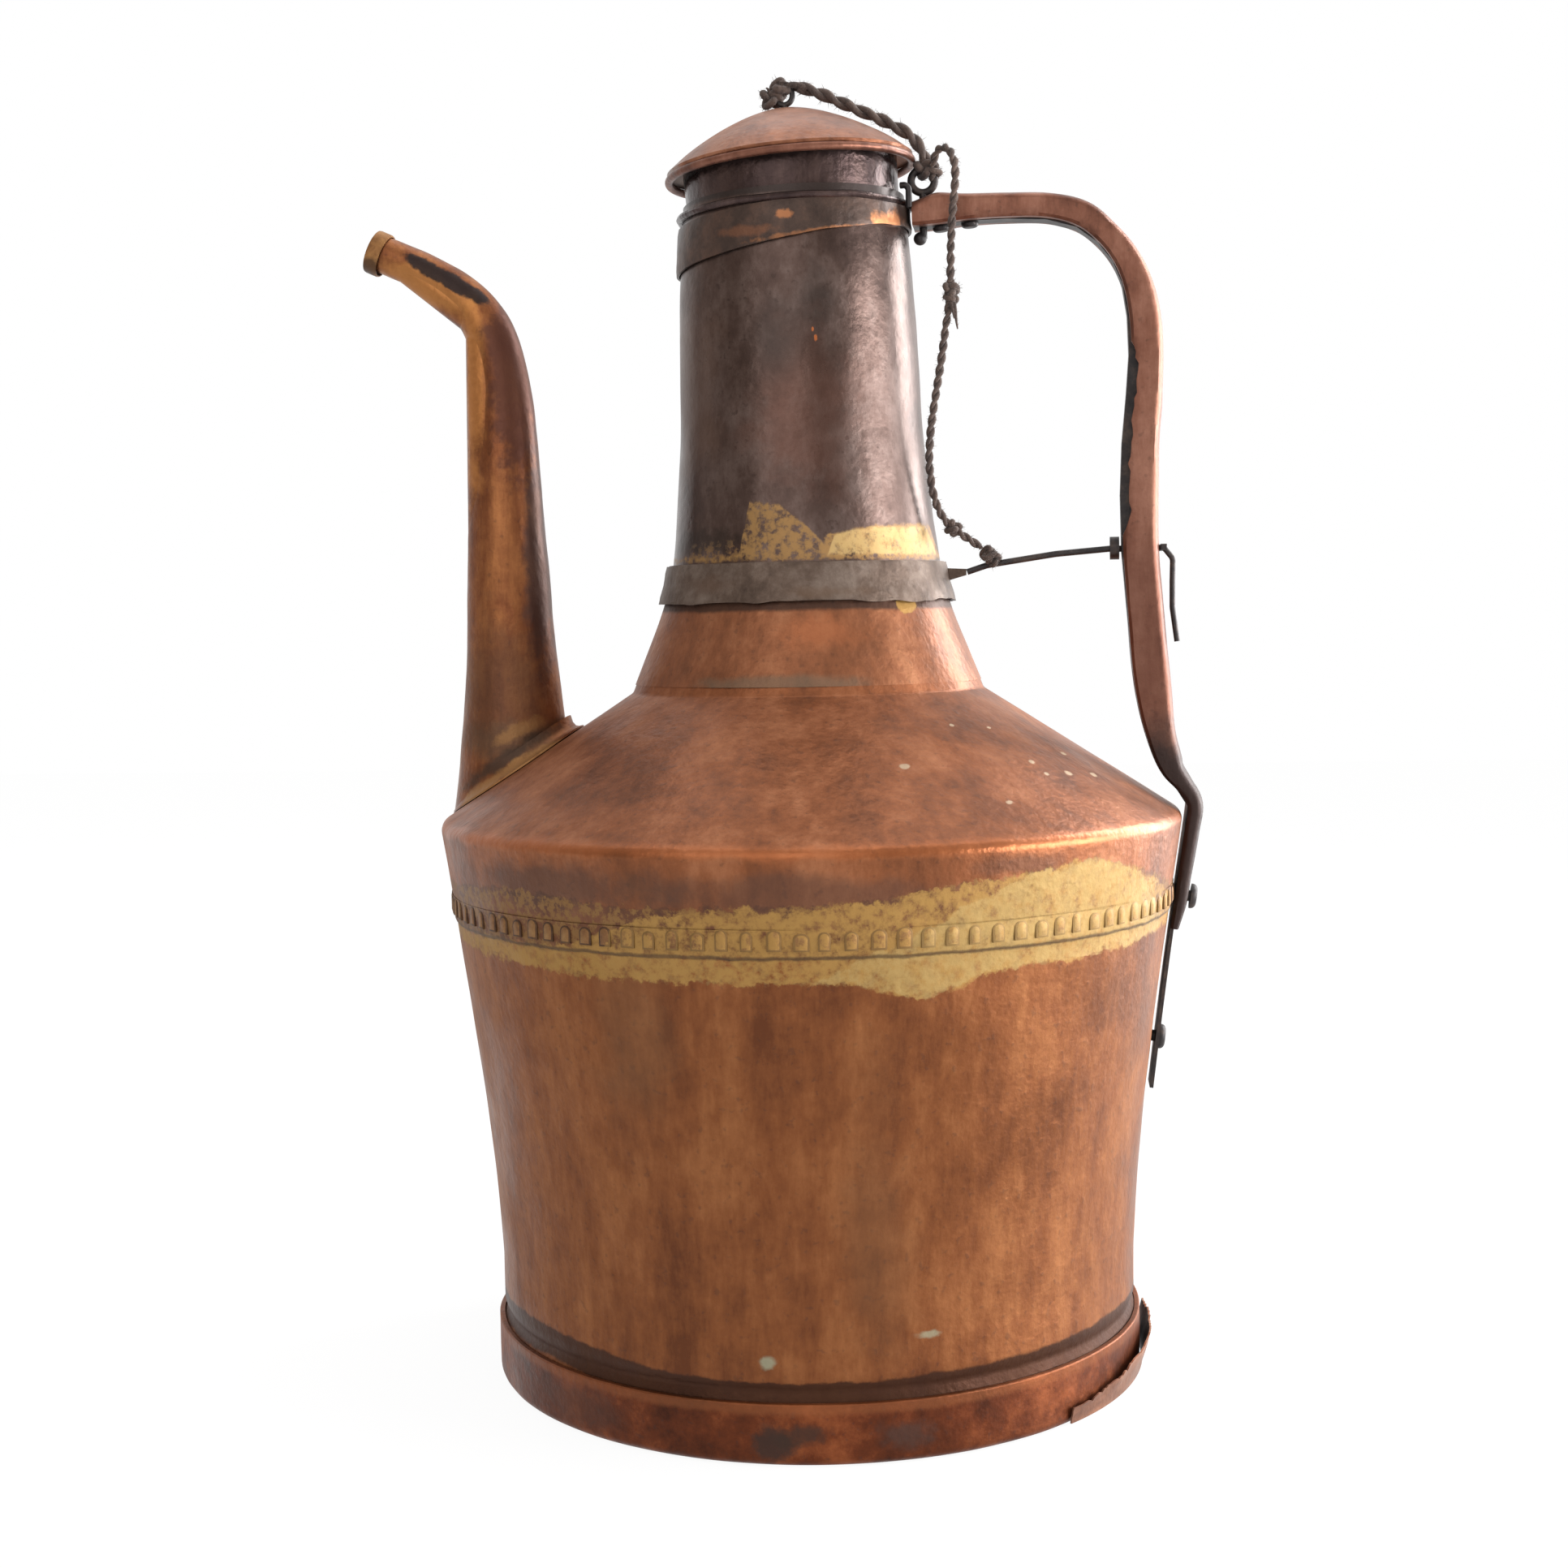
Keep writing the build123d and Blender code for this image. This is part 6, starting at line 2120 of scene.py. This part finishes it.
@dataclass
class Handle:
    """Folded copper sheath over an iron core, with its rivets and eye."""

    width: float = 0.018
    wall: float = 0.0010
    neck_side: float = 0.03955
    rim_height: float = 0.4127
    edge_radius: float = 0.1324
    edge_height: float = 0.197
    upper: tuple[tuple[float, float, float], ...] = (
        (0.4, 10.1, 9.0), (3.8, 10.0, 10.0), (10.0, 9.6, 11.4), (20.0, 8.6, 9.6), (33.0, 8.3, 9.0),
        (46.5, 8.9, 9.0),
        (57.0, 12.0, 9.5), (64.2, 17.6, 9.0), (69.3, 24.2, 9.4), (72.7, 32.0, 10.2), (74.8, 42.5, 11.0),
        (75.5, 56.0, 11.4),
    )
    lower: tuple[tuple[float, float, float], ...] = (
        (18.3, 146.0, 11.9), (19.9, 129.0, 12.4), (20.6, 111.0, 12.6), (20.5, 91.0, 12.6), (19.1, 71.0, 12.7),
        (17.8, 53.0, 13.0), (15.8, 38.5, 12.4), (12.4, 25.0, 10.4), (8.0, 14.0, 9.0), (2.4, 7.6, 6.6),
        (-1.1, 2.0, 5.8),
    )
    wall_depths: tuple[float, ...] = (5.7, 5.5, 5.1, 4.9, 3.4)
    torn_low: float = 0.294
    torn_high: float = 0.360
    torn_depth: float = 0.0030
    lip: float = 0.0042
    lip_swing: float = 0.0012

    def torn(self, height: float) -> float:
        """Gives how far the sheath's front edge is torn back from its inner face at a height."""
        inside = min(height - self.torn_low, self.torn_high - height)
        if inside <= 0:
            return 0.0
        ragged = 0.0011 * noise.noise(Vector((height * 190, 3.0, 0.0)))
        ragged += 0.0006 * noise.noise(Vector((height * 520, 8.0, 0.0)))
        return min(1.0, inside / 0.004) * max(0.0006, self.torn_depth * 0.75 + ragged)

    def run(self) -> list[tuple[float, float, float]]:
        """Gives the inner edge of the sheath and its depth, from the neck to its foot."""
        places = [
            (self.neck_side + out * MM, self.rim_height - down * MM, depth * MM)
            for out, down, depth in self.upper
        ]
        places += [
            (self.edge_radius - inward * MM, self.edge_height + above * MM, depth * MM)
            for inward, above, depth in self.lower
        ]
        vessel = Vessel()
        for index, depth in enumerate(self.wall_depths):
            height = 0.191 - index * 0.035 / 4
            places.append((vessel.wall_radius(height) + 0.00095, height, depth * MM))
        return [tuple(row) for row in smooth_line(places, 7)]

    def build_sheath(self, finishes: Finishes) -> None:
        """Makes the folded sheath with its ragged open seam toward the vessel."""
        run = self.run()
        rings = []
        total = 0.0
        for index, (across, height, depth) in enumerate(run):
            before, after = run[max(index - 1, 0)], run[min(index + 1, len(run) - 1)]
            step = Vector((after[0] - before[0], 0.0, after[1] - before[1])).normalized()
            outward = step.cross(Vector((0.0, 1.0, 0.0)))
            outward = outward if outward.dot(Vector((1.0, 0.0, 0.4))) > 0 else -outward
            if index:
                total += math.dist(run[index - 1][:2], (across, height))
            origin = Vector((across, 0.0, height))
            half = self.width / 2
            crown = min(0.003, depth * 0.45)
            side = depth - crown
            far_lip, near_lip = (
                self.lip + self.lip_swing * noise.noise(Vector((total * 140, seed, 0.0)))
                for seed in (1.0, 9.0)
            )
            curl = 0.0003 * noise.noise(Vector((total * 90, 4.0, 0.0)))
            dip = 0.0003 * abs(noise.noise(Vector((total * 40, 6.0, 0.0))))
            outer = [(far_lip, 0.0), (half - 0.0012, 0.0), (half - 0.0002, 0.0010 + curl)]
            outer += [(half - dip, side * share) for share in (0.45, 0.75, 1.0)]
            arc = 12
            for number in range(1, arc):
                angle = math.pi * number / arc
                lift = math.sin(angle) ** 0.75
                outer.append((half * math.cos(angle) * (1 - 0.02 * lift), side + crown * lift - dip))
            cut = self.torn(height) if index > len(self.upper) else 0.0
            outer += [(-half + dip, cut + (side - cut) * share) for share in (1.0, 0.75, 0.45)]
            if cut > 0:
                outer += [(-half + 0.0002, 0.0006 + cut), (-half + 0.0004, cut), (-half + 0.0006, cut)]
                inner = [
                    (-half + 0.0007, cut), (-half + 0.0008, cut + 0.0003), (-half + self.wall, cut + 0.0018)
                ]
            else:
                outer += [(-half + 0.0002, 0.0010 + curl), (-half + 0.0012, 0.0), (-near_lip, 0.0)]
                inner = [
                    (-near_lip, self.wall * 0.8), (-half + 0.0014, self.wall), (-half + self.wall, 0.0018)
                ]
            inner += [(-half + self.wall, side), (0.0, depth - self.wall), (half - self.wall, side)]
            inner += [(half - self.wall, 0.0018), (half - 0.0014, self.wall), (far_lip, self.wall * 0.8)]
            rings.append(
                [origin + Vector((0.0, aside, 0.0)) + outward * away for aside, away in outer + inner]
            )
        piece = loft("handle_sheet", rings)
        settle(piece, finishes[Finish.HANDLE], "jug", "handle_sheath")

    def build(self, finishes: Finishes) -> None:
        """Builds the sheath and dresses the iron pieces."""
        self.build_sheath(finishes)
        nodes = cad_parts
        for name in IRON_NODES:
            dress(nodes[name], finishes[Finish.IRON_AND_SHADE])
        log.info("handle built")


# Lid


@dataclass
class Lid:
    """Domed lid with its rolled edge, plug skirt and eye."""

    seat: Seat = Seat(-0.00332, 0.4234, 4.0)
    radius: float = 0.0436

    def build_dome(self, finishes: Finishes) -> None:
        """Makes the domed sheet with its slightly dished brim."""
        outer = smooth_line(((self.radius, 0.0026), (0.0375, 0.0074), (0.0310, 0.0115), (0.0225, 0.0160),
                             (0.0145, 0.0194), (0.0070, 0.0216), (0.0, 0.0223)), 7)
        inner = ((0.0, 0.0213), (0.0141, 0.0184), (0.0304, 0.0105), (0.0429, 0.0016))
        piece = lathe("dome_sheet", outer, inner, self.seat, 192, Dents(0.0004, 0.02, 15.0))
        settle(piece, finishes[Finish.DOME], "lid", "lid_dome")

    def build_skirt(self, finishes: Finishes) -> None:
        """Makes the plug skirt that sits in the mouth."""
        outer = finer(((0.0382, 0.0049), (0.0376, -0.0107), (0.0370, -0.0217)), 0.0012)
        inner = ((0.0362, -0.0217), (0.0368, -0.0107), (0.0374, 0.0049))
        piece = lathe("skirt_sheet", outer, inner, self.seat, 192, Dents(0.0004, 0.03, 18.0))
        settle(piece, finishes[Finish.SKIRT], "lid", "lid_skirt")

    def build(self, finishes: Finishes) -> None:
        """Builds the lid's sheets and dresses its wire and eye."""
        self.build_dome(finishes)
        self.build_skirt(finishes)
        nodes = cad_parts
        dress(nodes["lid_wire"], finishes[Finish.HANDLE])
        dress(nodes["lid_eye"], finishes[Finish.IRON_AND_SHADE])
        dress(nodes["lid_eye_rove"], finishes[Finish.IRON_AND_SHADE])
        log.info("lid built")


def main() -> None:
    """Builds the studio and the pitcher."""
    Studio().build()
    finishes = build_finishes()
    Cords().build(finishes)
    Vessel().build(finishes)
    Neck().build(finishes)
    Spout().build(finishes)
    Handle().build(finishes)
    Lid().build(finishes)


if __name__ == "__main__":
    logging.basicConfig(level=logging.INFO)
    main()
